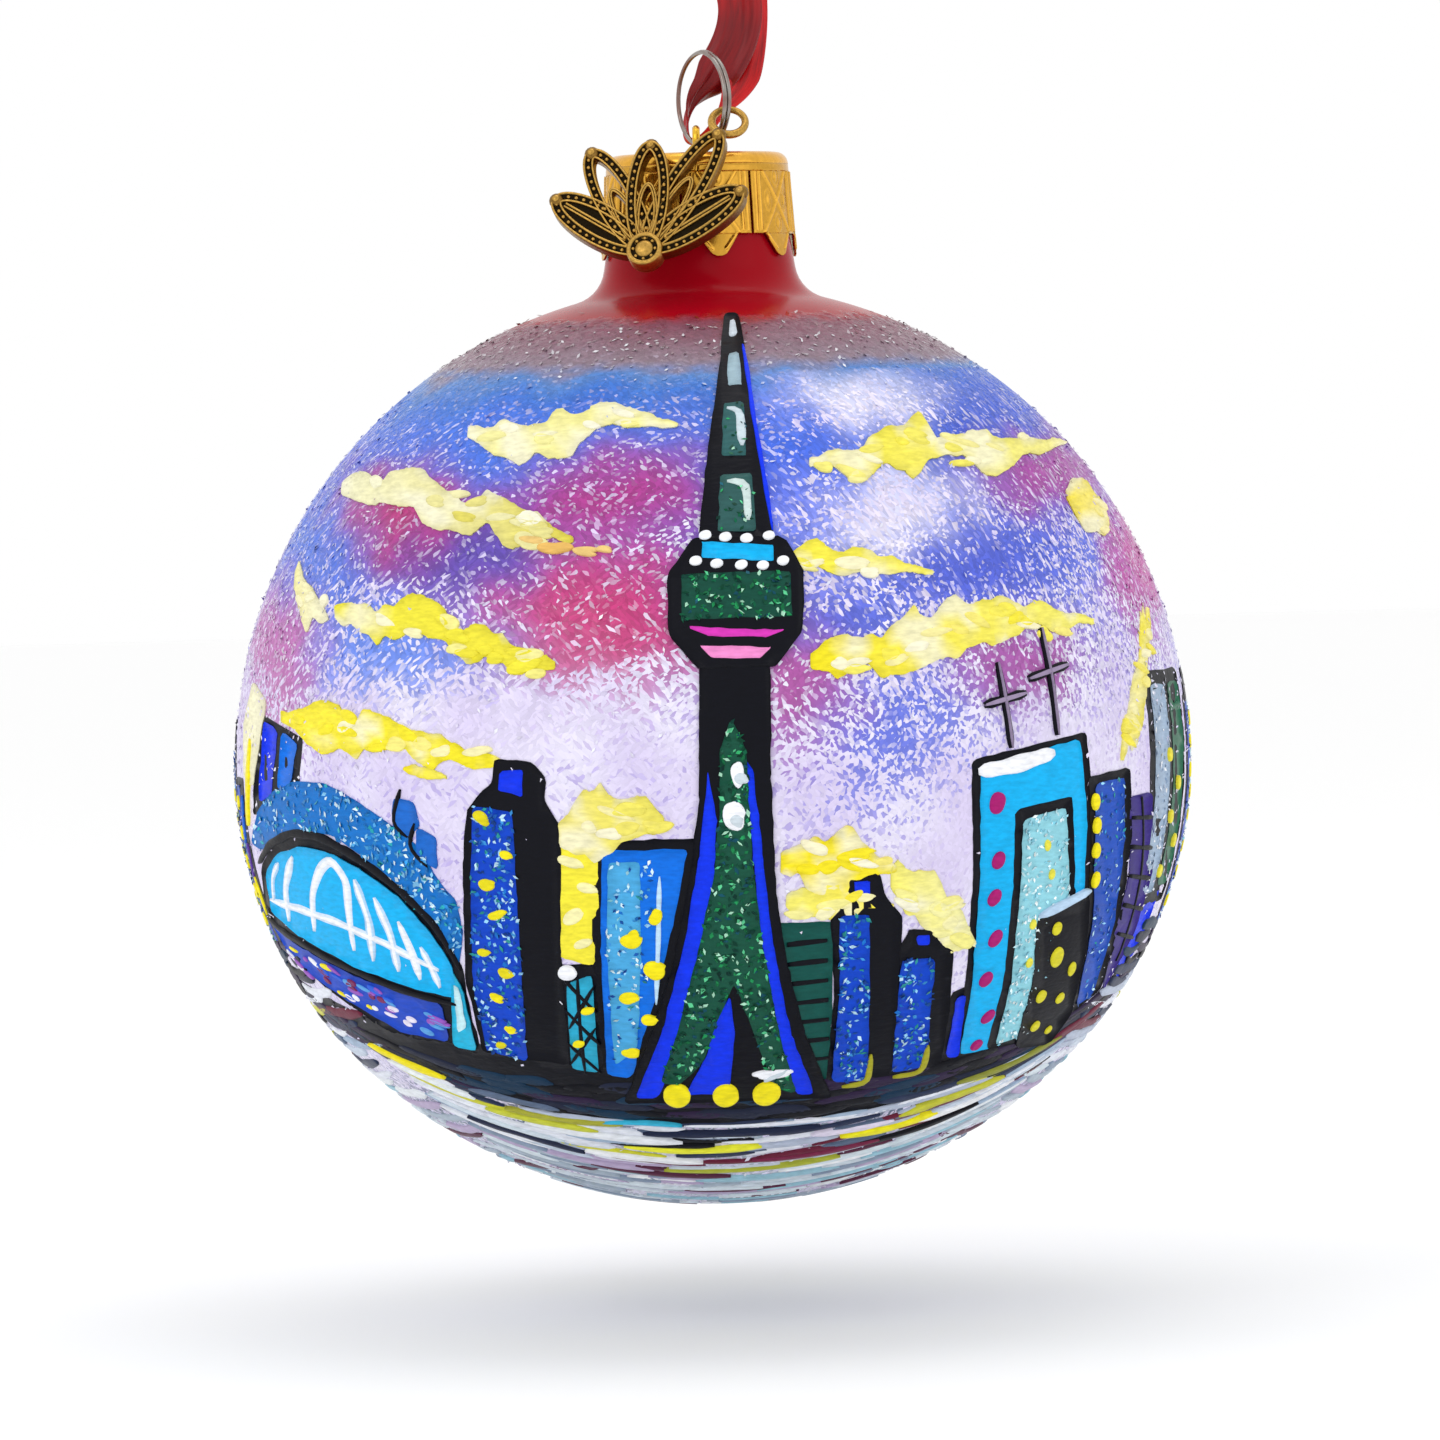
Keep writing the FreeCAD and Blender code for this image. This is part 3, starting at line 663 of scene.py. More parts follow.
# Yellow sky between two buildings, and a pale strip at the far left.
fill(cloud_paint, ((-15.9, -5), (-11.3, -5.4), (-11.5, -13), (-12.2, -18.6), (-15.8, -17.6)),
     "f0e43c", 0)
for x, z in ((-14.4, -8), (-13, -10.6), (-14.2, -13.4), (-13.4, -16.2)):
    dab(cloud_paint, (x, z), 2.4, 1.3, random.uniform(-0.5, 0.5), "f2ecae", 1, ragged=0.3)
fill(cloud_paint, ((-47.2, 10), (-45.6, 8), (-46.6, 3), (-47.4, -1), (-48.6, 0), (-48.4, 6)),
     "f2eecc", 1)
# Warm dabs at the end of a cloud.
for x, z, width, height in (
        (-17.4, 24, 2.6, 0.9), (-15, 23.3, 3.4, 1.2), (-12.2, 22.8, 2.8, 1.0), (-10.2, 23, 1.6, 0.6)):
    dab(cloud_paint, (x, z), width, height, -0.1, mix("e2b25c", "ece0a0", random.uniform(0, 0.4)), 3,
        ragged=0.4)
cloud_paint.piece("painted_clouds", acrylic, "ball", "painted_glass")

# ==== Skyline ===================================================================
# Buildings along the shore, each outlined in black over blue, turquoise or green, with
# yellow lit windows. Their lit faces are picked out in coloured glitter.

BLACK = "070812"
ROYAL = "0a34ea"
AZURE = "0a6ee0"
TURQUOISE = "0cb0ee"
GREEN = "0f4f48"
YELLOW = "f4e418"
WHITE = "f2f4fa"
MAGENTA = "a8186e"


class Shards(Coat):
    """Chips of crushed glass or glitter, each a small tilted leaf stuck in the paint."""

    def scatter(self, places, tints, size, lift, tilt=0.22):
        """Chips at points on the glass, of about that length and width, so far above it."""
        places = np.atleast_2d(places)
        normal = glass_normal(places)
        east = np.cross((0.0, 0.0, 1.0), normal) + 1e-9
        east /= np.linalg.norm(east, axis=1)[:, None]
        north = np.cross(normal, east)
        chance = np.random.RandomState(len(places) + self.count)
        spin = chance.uniform(0, 2 * math.pi, len(places))[:, None]
        along = east * np.cos(spin) + north * np.sin(spin) + normal * chance.normal(
            0, tilt, len(places))[:, None]
        across = np.cross(normal, along) + normal * chance.normal(0, tilt, len(places))[:, None]
        long_half = chance.uniform(0.6, 1.2, len(places))[:, None] * size[0] / 2
        short_half = chance.uniform(0.6, 1.2, len(places))[:, None] * size[1] / 2
        middle = settle(places, 0.0) + normal * chance.uniform(
            lift[0], lift[1], len(places))[:, None]
        corners = np.stack([
            middle - along * long_half, middle - across * short_half * 0.9,
            middle + along * long_half, middle + across * short_half * 1.1], axis=1)
        faces = [(4 * k, 4 * k + 1, 4 * k + 2, 4 * k + 3) for k in range(len(places))]
        self.put(corners.reshape(-1, 3), faces, np.repeat(tints, 4, axis=0))


def sparkle(shards, corners, codes, layer, density=2.6, turn=0.0, size=(0.66, 0.36)):
    """Glitter of those colours over an area, so many chips to each square millimetre."""
    corners = np.asarray(corners, float)
    low, high = corners.min(axis=0), corners.max(axis=0)
    count = int(density * (high[0] - low[0]) * (high[1] - low[1]))
    spots = np.array([
        (random.uniform(low[0], high[0]), random.uniform(low[1], high[1])) for _ in range(count)])
    spots = spots[inside(spots, corners)]
    if len(spots):
        tints = np.array([srgb(random.choice(codes)) for _ in spots])
        bottom = height_of(layer) + 0.04
        shards.scatter(at_front(spots, turn), tints, size, (bottom, bottom + 0.1))


# Polyester glitter set in clear glue: hard bright chips, each tilted its own way.
glitter, tree = start_material("coloured_glitter_in_clear_glue")
CHIP = 0.7 * MM
chips = add(tree, "ShaderNodeTexVoronoi", {
    "Vector": add(tree, "ShaderNodeTexCoord").outputs["Object"], "Scale": 1 / CHIP})
chip_parts = add(tree, "ShaderNodeSeparateColor", {"Color": chips.outputs["Color"]})
chip_tint = patterned_tint(tree, chip_parts.outputs[0], 0.75, 1.25)
chip_gloss = add(tree, "ShaderNodeMapRange", {
    "Value": chip_parts.outputs[1], "To Min": 0.12, "To Max": 0.4})
finish_material(tree, {
    "Base Color": chip_tint, "Roughness": chip_gloss.outputs[0], "Metallic": 0.7,
    "Specular IOR Level": 0.3})

BLUE_GLITTER = ("1c5cb4", "1a6cc0", "3a8cd0", "8cc4ea", "144a94", "2a8a8c", "18408c", "b8dcf0")
GREEN_GLITTER = (
    "0b4632", "14683f", "1f8850", "58c08a", "08342c", "0f5a3e", "124a5a", "a8dcc0", "0a3a2c")
COARSE = (0.8, 0.42)        # mm, length and width of the larger glitter
PALE_GLITTER = ("cfe8f0", "9fd4e4", "e8f4f4", "b8dce4", "7ec4d8")
random.seed(5)
west = Coat()
west_glitter = Shards()

# Far left: a blue block with two faces.
fill(west, ((-47, 7), (-41.6, 4.4), (-42.4, -1.5), (-47.6, -4)), BLACK, 0)
fill(west, ((-46, 6), (-44.4, 5.2), (-45.2, -1.6), (-46.8, -2.4)), ROYAL, 1)
fill(west, ((-43.9, 5), (-42.2, 3.8), (-43, -0.4), (-44.6, -1)), AZURE, 1)
# The domed hall: a glittered roof over a turquoise glass front, on a blue base.
DOME_OUTSIDE = ((-48, -7), (-47, -3.5), (-45.5, -1.5), (-43, 0), (-40, 0), (-37.5, -1), (-35, -2.5),
                (-32, -4.5), (-29.5, -6.5), (-28, -9.5), (-26, -12), (-25.5, -15))
DOME_INSIDE = ((-26, -18.5), (-27.5, -15.5), (-30, -13), (-32.5, -10), (-35.5, -7.5), (-38.5, -5.5),
               (-41.5, -5), (-44.5, -5.5), (-46.5, -7.5))
HALL_FRONT = ((-47, -9.5), (-45.5, -6.8), (-43, -5.6), (-40, -6), (-37, -7.5), (-33.5, -9.8),
              (-29.5, -13.5), (-27, -16.5), (-25.6, -19), (-25, -24), (-24, -28.2), (-28, -27.5),
              (-34, -26), (-40, -22), (-45, -18), (-46.8, -14))
fill(west, HALL_FRONT, BLACK, 0)
fill(west, DOME_OUTSIDE + DOME_INSIDE, "1070c4", 1)
sparkle(west_glitter, DOME_OUTSIDE + DOME_INSIDE,
        ("2a86cc", "4a9cd6", "7cbce6", "b0d8f0", "1c70b4", "2aa0b0", "d4eaf6"), 1, 3.6,
        size=(0.85, 0.45))
HALL_GLASS = ((-46.3, -9.8), (-44.8, -7.6), (-42, -6.6), (-39, -7.2), (-35.5, -9), (-32, -11.5),
              (-28.8, -15), (-26.8, -18.2), (-26.2, -22), (-31, -21), (-37, -19), (-42.5, -16.4),
              (-46, -14))
fill(west, HALL_GLASS, TURQUOISE, 2)
fill(west, ((-26.8, -19), (-25.7, -21), (-24.6, -27.6), (-27, -27.2)), "23b4dc", 2)
fill(west, ((-26.6, -20.4), (-26, -21), (-25.4, -25), (-26.4, -25.6)), "c4ecf4", 3)
fill(west, ((-46, -15.6), (-42, -17.8), (-36.5, -20.2), (-28, -22.6), (-27.4, -26.6), (-32, -26),
            (-38, -22.8), (-44, -19)), "1c48c0", 2)
# White ribs of the glass front.
for arch, width in (
        (((-41, -15.4), (-41, -11.4), (-40, -8.8), (-38.8, -7.8), (-37.2, -10), (-36.8, -17.2)), 1.2),
        (((-45.8, -12.6), (-42.5, -13.2), (-38.5, -14.3), (-33.5, -16.3), (-28, -19)), 1.0),
        (((-43.8, -14.6), (-44, -11), (-43, -7.8)), 1.3),
        (((-45.4, -12.6), (-45.4, -10), (-44.6, -8.6)), 0.9),
        (((-34.8, -18.2), (-35, -14), (-36.4, -9.8)), 1.3),
        (((-32.2, -19.2), (-32.8, -15.4), (-34.4, -11.6)), 1.2),
        (((-30, -20), (-30.6, -17.4), (-32, -14)), 1.1),
        (((-28, -20.8), (-28.6, -19), (-29.8, -16.6)), 1.0)):
    stroke(west, arch, width, mix(WHITE, TURQUOISE, random.uniform(0.12, 0.5)), 3)
    stroke(west, arch, 0.45 * width, WHITE, 4)
stroke(west, ((-46.5, -14.8), (-42.5, -17), (-37, -19.4), (-31, -21.6), (-26.4, -22.6)), 0.8,
       BLACK, 3)
stroke(west, ((-47, -8.8), (-45.5, -6.6), (-43, -5.3), (-40, -5.6), (-37.5, -6.8), (-34.5, -8.6),
              (-31.5, -11), (-28.5, -14), (-27, -16.5), (-25.8, -19)), 0.9, BLACK, 3)
# The crowd and lights along the base.
for _ in range(46):
    x = random.uniform(-44, -28)
    z = -18.2 - (x + 44) * 0.42 + random.uniform(-1.6, 0.8)
    dab(west, (x, z), random.uniform(1, 2.6), random.uniform(0.4, 0.9), random.uniform(-0.6, -0.2),
        random.choice((YELLOW, WHITE, "7a2a5a", "5aa0e0", "e8e2f4", "9a5ac0", "2a60d8")), 3)
# Narrow strips past the hall, seen edge-on from the front.
for limb, width, code in (
        (((-47.6, 4), (-48, 0), (-48.2, -5)), 1.6, YELLOW), (((-48.8, -2), (-48.6, -7)), 1.0, "1c62d0"),
        (((-48.4, -7), (-47.8, -11)), 1.2, "5a3a9a"), (((-47.8, -10.5), (-46.6, -14.5)), 1.1, YELLOW)):
    stroke(west, limb, width, code, 2)
# Two small leaning blocks behind the dome.
for corners in (((-32.2, -1.4), (-30, -1.8), (-29.4, -4.4), (-31.2, -5.6), (-32.4, -4.4)),
                ((-29.8, -4.4), (-27.8, -5.4), (-27.8, -8.8), (-30.2, -7.4))):
    fill(west, corners, "1c68c8", 1)
for line in (((-31.4, -0.6), (-32.4, -4.2), (-30.8, -5.4)), ((-30, -4), (-30.8, -6.4), (-28.8, -8.4))):
    stroke(west, line, 0.5, BLACK, 2)


def high_rise(coat, shards, body, face, cap_window, lights, glints):
    """A tall block: black body, glittered lit face, blue window in its cap, and lights."""
    fill(coat, body, BLACK, 1)
    fill(coat, face, "0c44c4", 2)
    sparkle(shards, face, glints, 2, 3.0, size=COARSE)
    fill(coat, cap_window, ROYAL, 2, corner_cut=0.3)
    for x, z, width, height in lights:
        dab(coat, (x, z), 1.2 * width, 1.15 * height, random.uniform(-0.5, 0.5),
            mix(YELLOW, "a8a820", random.uniform(0, 0.35)), 4, ragged=0.35)


# The tall block right of the hall.
high_rise(
    west, west_glitter,
    ((-21.8, 2.4), (-18, 2.2), (-16.6, 0.6), (-16.8, -1.8), (-15.2, -4.6), (-15.6, -17),
     (-15.2, -29), (-24, -27.6), (-25.4, -20), (-25.2, -8), (-24.6, -2.6), (-23.4, -1), (-22, 0)),
    ((-24, -2.2), (-20, -2.8), (-19.8, -11), (-19.4, -28.6), (-23.6, -27.4), (-24.6, -20.5),
     (-24.4, -9)),
    ((-21.2, 1.2), (-18.8, 1.4), (-18.9, -1.4), (-21.4, -0.6)),
    ((-23, -3.4, 1.6, 1.1), (-20.6, -7.2, 1.2, 0.8), (-22.8, -10, 1.5, 1.1), (-21.8, -13.2, 1.8, 1),
     (-23.4, -17, 1.4, 1), (-21.2, -19.2, 1.5, 1.1), (-22.2, -21.8, 1.4, 0.9),
     (-20.9, -25.2, 1.3, 0.9), (-22, -26.8, 1.2, 0.8)), BLUE_GLITTER)
# A trellised block with a white lamp on its corner.
fill(west, ((-16.2, -18.4), (-12, -18.2), (-11.6, -30.4), (-15.8, -29.8)), BLACK, 0)
fill(west, ((-15.2, -20.4), (-12.6, -19.4), (-12.2, -29.8), (-15, -29.4)), "2aa8cc", 1)
for line in (((-15.6, -19.6), (-12.2, -23.4)), ((-15.4, -23), (-12, -26.8)),
             ((-15.2, -26.6), (-12, -29.8)), ((-12.4, -20.6), (-15, -25)),
             ((-12.4, -25), (-15, -28.8)), ((-14, -19.6), (-13.6, -29.8))):
    stroke(west, line, 0.42, BLACK, 2)
for x, z, size in ((-13.1, -23.1, 1.5), (-14.1, -26.6, 1.4)):
    dab(west, (x, z), size, 0.9, 0.3, YELLOW, 4)
dab(west, (-15, -19.2), 2.0, 1.5, 0.3, WHITE, 4, ragged=0.25)
# The azure block that the tower stands in front of, half of it glittered.
fill(west, ((-12.4, -5.8), (-1.6, -5.8), (-3, -14), (-5, -21), (-8.4, -31.4), (-12, -31),
            (-12.6, -17)), BLACK, 0)
fill(west, ((-11.2, -6.8), (-2.6, -6.8), (-4.2, -14), (-6, -21), (-9, -30.4), (-11.4, -30),
            (-11.6, -17)), AZURE, 1)
fill(west, ((-10.6, -8), (-7.4, -8), (-7.6, -18), (-8.2, -27), (-10.6, -29), (-11, -17)),
     "4aa6dc", 2)
sparkle(west_glitter, ((-10.6, -8), (-6, -8), (-6.6, -18), (-8, -28), (-10.8, -29.4), (-11, -17)),
        PALE_GLITTER + BLUE_GLITTER, 2, 1.5)
stroke(west, ((-5.5, -9.5), (-5.8, -16), (-6.2, -22.5)), 0.5, "bcdcf4", 3)
for x, z, width, height in ((-6, -13.6, 1.3, 1.7), (-8.4, -15.8, 2.2, 1.9), (-6.3, -19, 2, 1.9),
                            (-8.9, -21.8, 1.9, 1.6), (-6.9, -24.2, 1.6, 1.5), (-8.9, -27.6, 1.7, 1.6)):
    dab(west, (x, z), width, height, random.uniform(-0.6, 0.6), YELLOW, 4, ragged=0.3)
west.piece("painted_west_shore", acrylic, "ball", "painted_glass")

# ==== Tower =====================================================================
# The tallest building, in front of all the rest: a stepped mast, a round pod with a
# turquoise gallery, and a shaft that splays into two green legs.

random.seed(8)
tower = Coat()
tower_glitter = Shards()
# Mast: black, in four panelled steps, with a blue right edge.
fill(tower, ((2.4, 46.4), (3.9, 46.4), (4.6, 41), (5.2, 36), (5.9, 30.5), (6.8, 23.6), (-0.8, 23.6),
             (0.1, 30.5), (0.9, 36), (1.8, 41)), BLACK, 4)
stroke(tower, ((4.2, 43), (5, 36), (5.8, 30.5), (6.6, 24.4)), 0.45, ROYAL, 5)
MAST_PANELS = (
    (((2.8, 43.9), (3.6, 43.9), (3.5, 45.6), (2.9, 45.6)), "c8d2dc"),
    (((2.5, 38.9), (4, 38.9), (3.8, 42.2), (2.7, 42.2)), "9ab4c0"),
    (((1.7, 31.8), (4.2, 31.8), (4.1, 37.2), (2.1, 37.2)), "2f5f60"),
    (((1.1, 24.4), (5, 24.4), (4.7, 30), (1.6, 30)), "2f5a58"))
for corners, code in MAST_PANELS:
    fill(tower, corners, code, 5, corner_cut=0.3)
for corners, _ in MAST_PANELS[2:]:
    sparkle(tower_glitter, corners, GREEN_GLITTER, 5, 1.4)
stroke(tower, ((2.4, 36.6), (3.7, 36.6), (3.8, 32.8)), 0.9, "c4d4dc", 6)
stroke(tower, ((2.2, 29.3), (4.1, 29.3), (4.2, 25.4)), 0.9, "c8dad8", 6)
# Pod: green glass under a turquoise gallery, with pink bands and white lamps.
POD = ((-1.4, 23.8), (7.6, 23.8), (9.6, 20.4), (9.4, 14.6), (6.6, 11), (-1.2, 11), (-4, 14.4),
       (-4, 20.2))
fill(tower, POD, BLACK, 5)
POD_GREEN = ((-2.5, 20.3), (8.2, 20.3), (8.3, 15.8), (-2.7, 15.8))
fill(tower, POD_GREEN, "124a3c", 6, corner_cut=0.3)
sparkle(tower_glitter, POD_GREEN, GREEN_GLITTER, 6, 3.4, size=COARSE)
fill(tower, ((-0.5, 23.4), (6.6, 22.9), (6.6, 21.3), (-0.5, 21.8)), TURQUOISE, 6, corner_cut=0.2)
fill(tower, ((-2, 15.1), (7.6, 14.5), (5.6, 13.9), (0, 14.1)), "d838b8", 6, corner_cut=0.3)
fill(tower, ((-1, 13.2), (6.2, 12.9), (5, 11.8), (0.2, 12)), "f08ccc", 6, corner_cut=0.3)
for x, z in ((-0.1, 24), (1.9, 23.8), (4, 23.6), (6.2, 23.8), (-1.1, 21.5), (1, 21.2), (3.4, 21),
             (5.5, 20.9), (7.5, 21.3)):
    dab(tower, (x, z), 1.3, 1.0, 0.2, WHITE, 8)
# Shaft: black, edged in blue, with a green core that parts into two legs.
SHAFT = ((-1, 11.4), (6, 11.4), (5.8, 0), (6, -11.5), (7, -19), (8.6, -26), (11.2, -33),
         (-9.8, -33), (-7, -26), (-4.6, -19), (-2.6, -10), (-1.4, -2))
fill(tower, SHAFT, BLACK, 4)
fill(tower, ((-0.4, 1), (0.3, -4), (-0.2, -12), (-2.4, -21), (-4.8, -29), (-6.4, -32.4), (-8.6, -32.4),
             (-5.6, -25), (-3.4, -17), (-1.6, -8)), ROYAL, 5)
fill(tower, ((2.6, 3), (4, 1), (4.8, -8), (5.6, -17), (7.2, -26), (9.4, -32.4), (7.6, -32.4),
             (5.8, -26), (4.6, -17), (3.8, -8), (3.4, -1)), ROYAL, 5)
CORE = ((2, 6), (3.4, 3), (3.7, -8), (4.6, -17), (6, -26), (7.6, -32.2), (5.2, -31.5), (3.4, -25.5),
        (1.6, -20.4), (0, -24), (-1.6, -28.5), (-4.2, -31), (-6, -30.6), (-4.2, -25.5), (-2, -17.5),
        (-0.2, -10), (0.6, -3), (0.8, 3))
fill(tower, CORE, "15503e", 6)
sparkle(tower_glitter, CORE, GREEN_GLITTER, 6, 3.4, size=COARSE)
fill(tower, ((1.2, -21.6), (1.6, -25.5), (0.8, -32), (-3.6, -32), (-1.4, -28), (-0.2, -24)),
     ROYAL, 6)
# White highlights, and three yellow lamps at the foot.
for x, z, width, height in ((2.5, 0.6, 1.6, 2.7), (2, -3.4, 1.9, 3), (5, -30, 3.8, 1.0)):
    dab(tower, (x, z), width, height, 0.1, WHITE, 8, ragged=0.35)
    dab(tower, (x + 0.3, z - 0.2 * height), 0.7 * width, 0.5 * height, 0.6, "c8d4dc", 9,
        ragged=0.35)
for x in (-4.4, 0.5, 4.6):
    dab(tower, (x, -32.1), 2.8, 3.7, 0.0, YELLOW, 9)
tower.piece("painted_tower", acrylic, "ball", "painted_glass")
tower_glitter.piece("glitter_on_tower", glitter, "ball", "painted_glass", smooth=False)
west_glitter.piece("glitter_on_west_shore", glitter, "ball", "painted_glass", smooth=False)

# ==== Eastern shore =============================================================
# To the right of the tower: a low green block, two high-rises, the turquoise slab with
# two masts, and blue and glittered blocks that run round the side.


def upright(lon, z):
    """A point that stands straight above another at the same longitude, in degrees."""
    return girth(z) * math.sin(math.radians(lon)), z


def standing(west_lon, east_lon, top, foot, steps=7):
    """A block that stands straight between two longitudes, with points up both sides."""
    levels = np.linspace(foot, top, steps)
    return ([upright(west_lon, z) for z in levels] + [upright(east_lon, z) for z in levels[::-1]])


random.seed(13)
east = Coat()
east_glitter = Shards()
# The low green block, with dark courses.
fill(east, ((6, -14.6), (11.8, -14.6), (11, -31.6), (9.6, -31.8), (7.4, -22)), GREEN, 0)
for z in np.arange(-16.6, -30, -2.05):
    stroke(east, ((7, z - 0.2), (9, z), (11, z + 0.1)), 0.6, BLACK, 1, tips=0.8)
# Two high-rises, the second lower, each with a lit yellow corner at its foot.
high_rise(
    east, east_glitter,
    ((13.1, -9.8), (16.4, -9.8), (17, -12.4), (18.6, -14.4), (18.4, -20), (17.6, -31.6),
     (10.6, -31.8), (11.6, -22), (11.4, -12.8), (13, -12.6)),
    ((12.3, -14), (15.3, -14), (14.9, -31.4), (11.2, -31.4), (12.1, -22)),
    ((13.8, -10.6), (15.4, -10.6), (15.3, -12.4), (13.9, -12.4)), (), BLUE_GLITTER)
high_rise(
    east, east_glitter,
    ((19.2, -15.8), (22, -15.8), (22.3, -17.4), (23.8, -18.2), (23.2, -25), (22.2, -31),
     (16.8, -31.2), (17.8, -24), (18.2, -17.8)),
    ((18.4, -18.8), (21.8, -18.8), (20.8, -30.4), (17.3, -30.8), (17.9, -24)),
    ((19.9, -16.4), (21.4, -16.4), (21.3, -17.4), (20, -17.4)), (), BLUE_GLITTER)
for line in (((12.2, -31.9), (14.8, -31.7), (15.2, -28.6)), ((17.4, -31.2), (20.4, -30.9), (21, -28))):
    stroke(east, line, 0.7, "a8a428", 4)
# A narrow blue block.
fill(east, ((23.6, -22.6), (25.4, -22), (24.6, -30), (22, -30)), BLACK, 0)
fill(east, ((24, -23.2), (25, -22.9), (24.2, -29.6), (22.9, -29.6)), ROYAL, 1)
# The turquoise slab, with a pale panel, magenta lamps and two masts on its roof.
fill(east, ((26, 1), (37.9, 3.2), (38.6, -5), (38.2, -14), (36, -26), (33, -29.6), (23.6, -30),
            (25, -22), (25.9, -10)), BLACK, 0)
fill(east, ((26.8, 0.4), (37.2, 2.5), (37.8, -5), (37.4, -13.4), (35.4, -24), (32.4, -28.6),
            (24.3, -29.4), (25.6, -22), (26.6, -10)), TURQUOISE, 1)
fill(east, ((30.3, -4.2), (36.2, -3.2), (36.4, -13), (34, -24), (31, -28.6), (27, -29),
            (28.8, -22), (29.9, -12)), BLACK, 2)
PALE_PANEL = ((31, -5.2), (35.5, -4.3), (35.7, -13), (33.4, -21), (31, -27.8), (27.9, -28.6),
              (29.6, -22), (30.6, -12))
fill(east, PALE_PANEL, "8fd0de", 3)
sparkle(east_glitter, PALE_PANEL, PALE_GLITTER, 3, 3.2)
stroke(east, ((26.6, -0.2), (30, 0.2), (34.4, 1.3)), 1.7, WHITE, 3)
for x, z, width, height in ((28.4, -3.4, 1.9, 2.3), (28.4, -9.2, 1.6, 2), (27.9, -13, 1.5, 2),
                            (28, -17.2, 1.5, 2), (27, -21.4, 1.5, 1.9), (27.2, -25.4, 1.4, 1.8),
                            (26, -28.4, 1.4, 1.5)):
    dab(east, (x, z), width, height, -0.5, MAGENTA, 4)
for x, z in ((33.4, -8), (33.8, -11), (31.8, -16), (31.4, -20)):
    dab(east, (x, z), 0.9, 1.2, 0.2, "e8e04c", 5)
for foot, top, arms in (((30, 2), (28.8, 10.6), ((27.4, 6.4), (31.6, 7.4))),
                        ((34.8, 3), (33.4, 13.8), ((32, 8.8), (36, 10)))):
    stroke(east, (foot, top), 0.75, BLACK, 4, tips=0.5)
    stroke(east, arms, 0.95, BLACK, 4, tips=0.6)
    stroke(east, (foot, top), 0.35, "8a7c98", 6, tips=0.5)
    stroke(east, arms, 0.45, "9a8aa8", 6, tips=0.6)
# The black block in front of it.
fill(east, ((32.2, -15.6), (37.8, -13.6), (37.4, -19), (36, -26), (33.6, -29.2), (30, -29),
            (31.8, -22)), BLACK, 5)
stroke(east, ((32.4, -15.2), (34.4, -14.4), (37.8, -13)), 1.0, "b8d4ee", 7)
for x, z, width, height in ((34.2, -16.6, 1.4, 1.5), (34.2, -19.6, 1.9, 2.6), (32.6, -23.6, 1.4, 1.6),
                            (34.6, -24, 1.3, 1.4), (32, -26.8, 1.3, 1.4), (35.8, -21, 1.2, 1.8),
                            (33.4, -27.4, 1, 1.1)):
    dab(east, (x, z), width, height, 0.4, "d8d028", 7)
# A leaning blue block with lit windows.
fill(east, ((38, -1.4), (42.6, -0.8), (42.6, -8), (41.4, -17), (39.4, -24), (36, -26.4),
            (37.6, -17), (38.2, -8)), BLACK, 1)
SLOPING_FACE = ((38.7, -2.2), (41.8, -1.8), (41.8, -8), (40.6, -17), (38.4, -24.4), (36.6, -25.4),
                (38.3, -16))
fill(east, SLOPING_FACE, "2050b8", 2)
sparkle(east_glitter, SLOPING_FACE, BLUE_GLITTER, 2, 2.4)
for x, z in ((38.6, -4), (38.7, -6.4), (38.6, -9), (38.5, -12)):
    dab(east, (x, z), 1.2, 1.7, 0.1, YELLOW, 5)
# A violet block with a grid of windows.
fill(east, ((42.4, -3.8), (45, -3.6), (45, -12), (43, -18.4), (39.6, -24.4), (40.6, -18),
            (42.4, -12)), "3a2a80", 1)
for line in (((42.6, -6), (44.8, -6.2)), ((42.4, -9), (44.8, -9.4)), ((42.2, -12), (44.6, -12.6)),
             ((41.6, -15), (43.8, -15.8)), ((41, -18), (42.8, -18.8)),
             ((43.7, -4), (43.6, -12), (41, -21))):
    stroke(east, line, 0.5, BLACK, 2, tips=0.8)
# The last block, round the side: a silver face and a green one.
fill(east, standing(64, 79, 8.8, -15.4), BLACK, 0)
EDGE_FACE = standing(65.4, 70.6, 7.4, -14.2)
fill(east, EDGE_FACE, "9fb4cc", 1)
sparkle(east_glitter, EDGE_FACE, ("dfe6f0", "b4c4dc", "8aa4c8", "f2f4f8"), 1, 3.0)
fill(east, standing(72, 77.6, 7.4, -13.6), "2c6a50", 1)
for lon, z in ((70, 0), (74, -3), (71.6, -6.4), (75, -9), (71, -12)):
    dab(east, upright(lon, z), 1.2, 1.5, 0.2, "e8dc3c", 4)
fill(east, ((42.6, -17), (46, -14), (44.6, -18), (42.4, -22), (40.8, -23.6)), ROYAL, 0)
east.piece("painted_east_shore", acrylic, "ball", "painted_glass")
east_glitter.piece("glitter_on_east_shore", glitter, "ball", "painted_glass", smooth=False)

# ==== Back of the ball ==========================================================
# The shore runs on round the back as plain blocks of different heights in the same
# paints, with glittered faces and rows of lit windows.

random.seed(34)
far_side = Coat()
far_glitter = Shards()


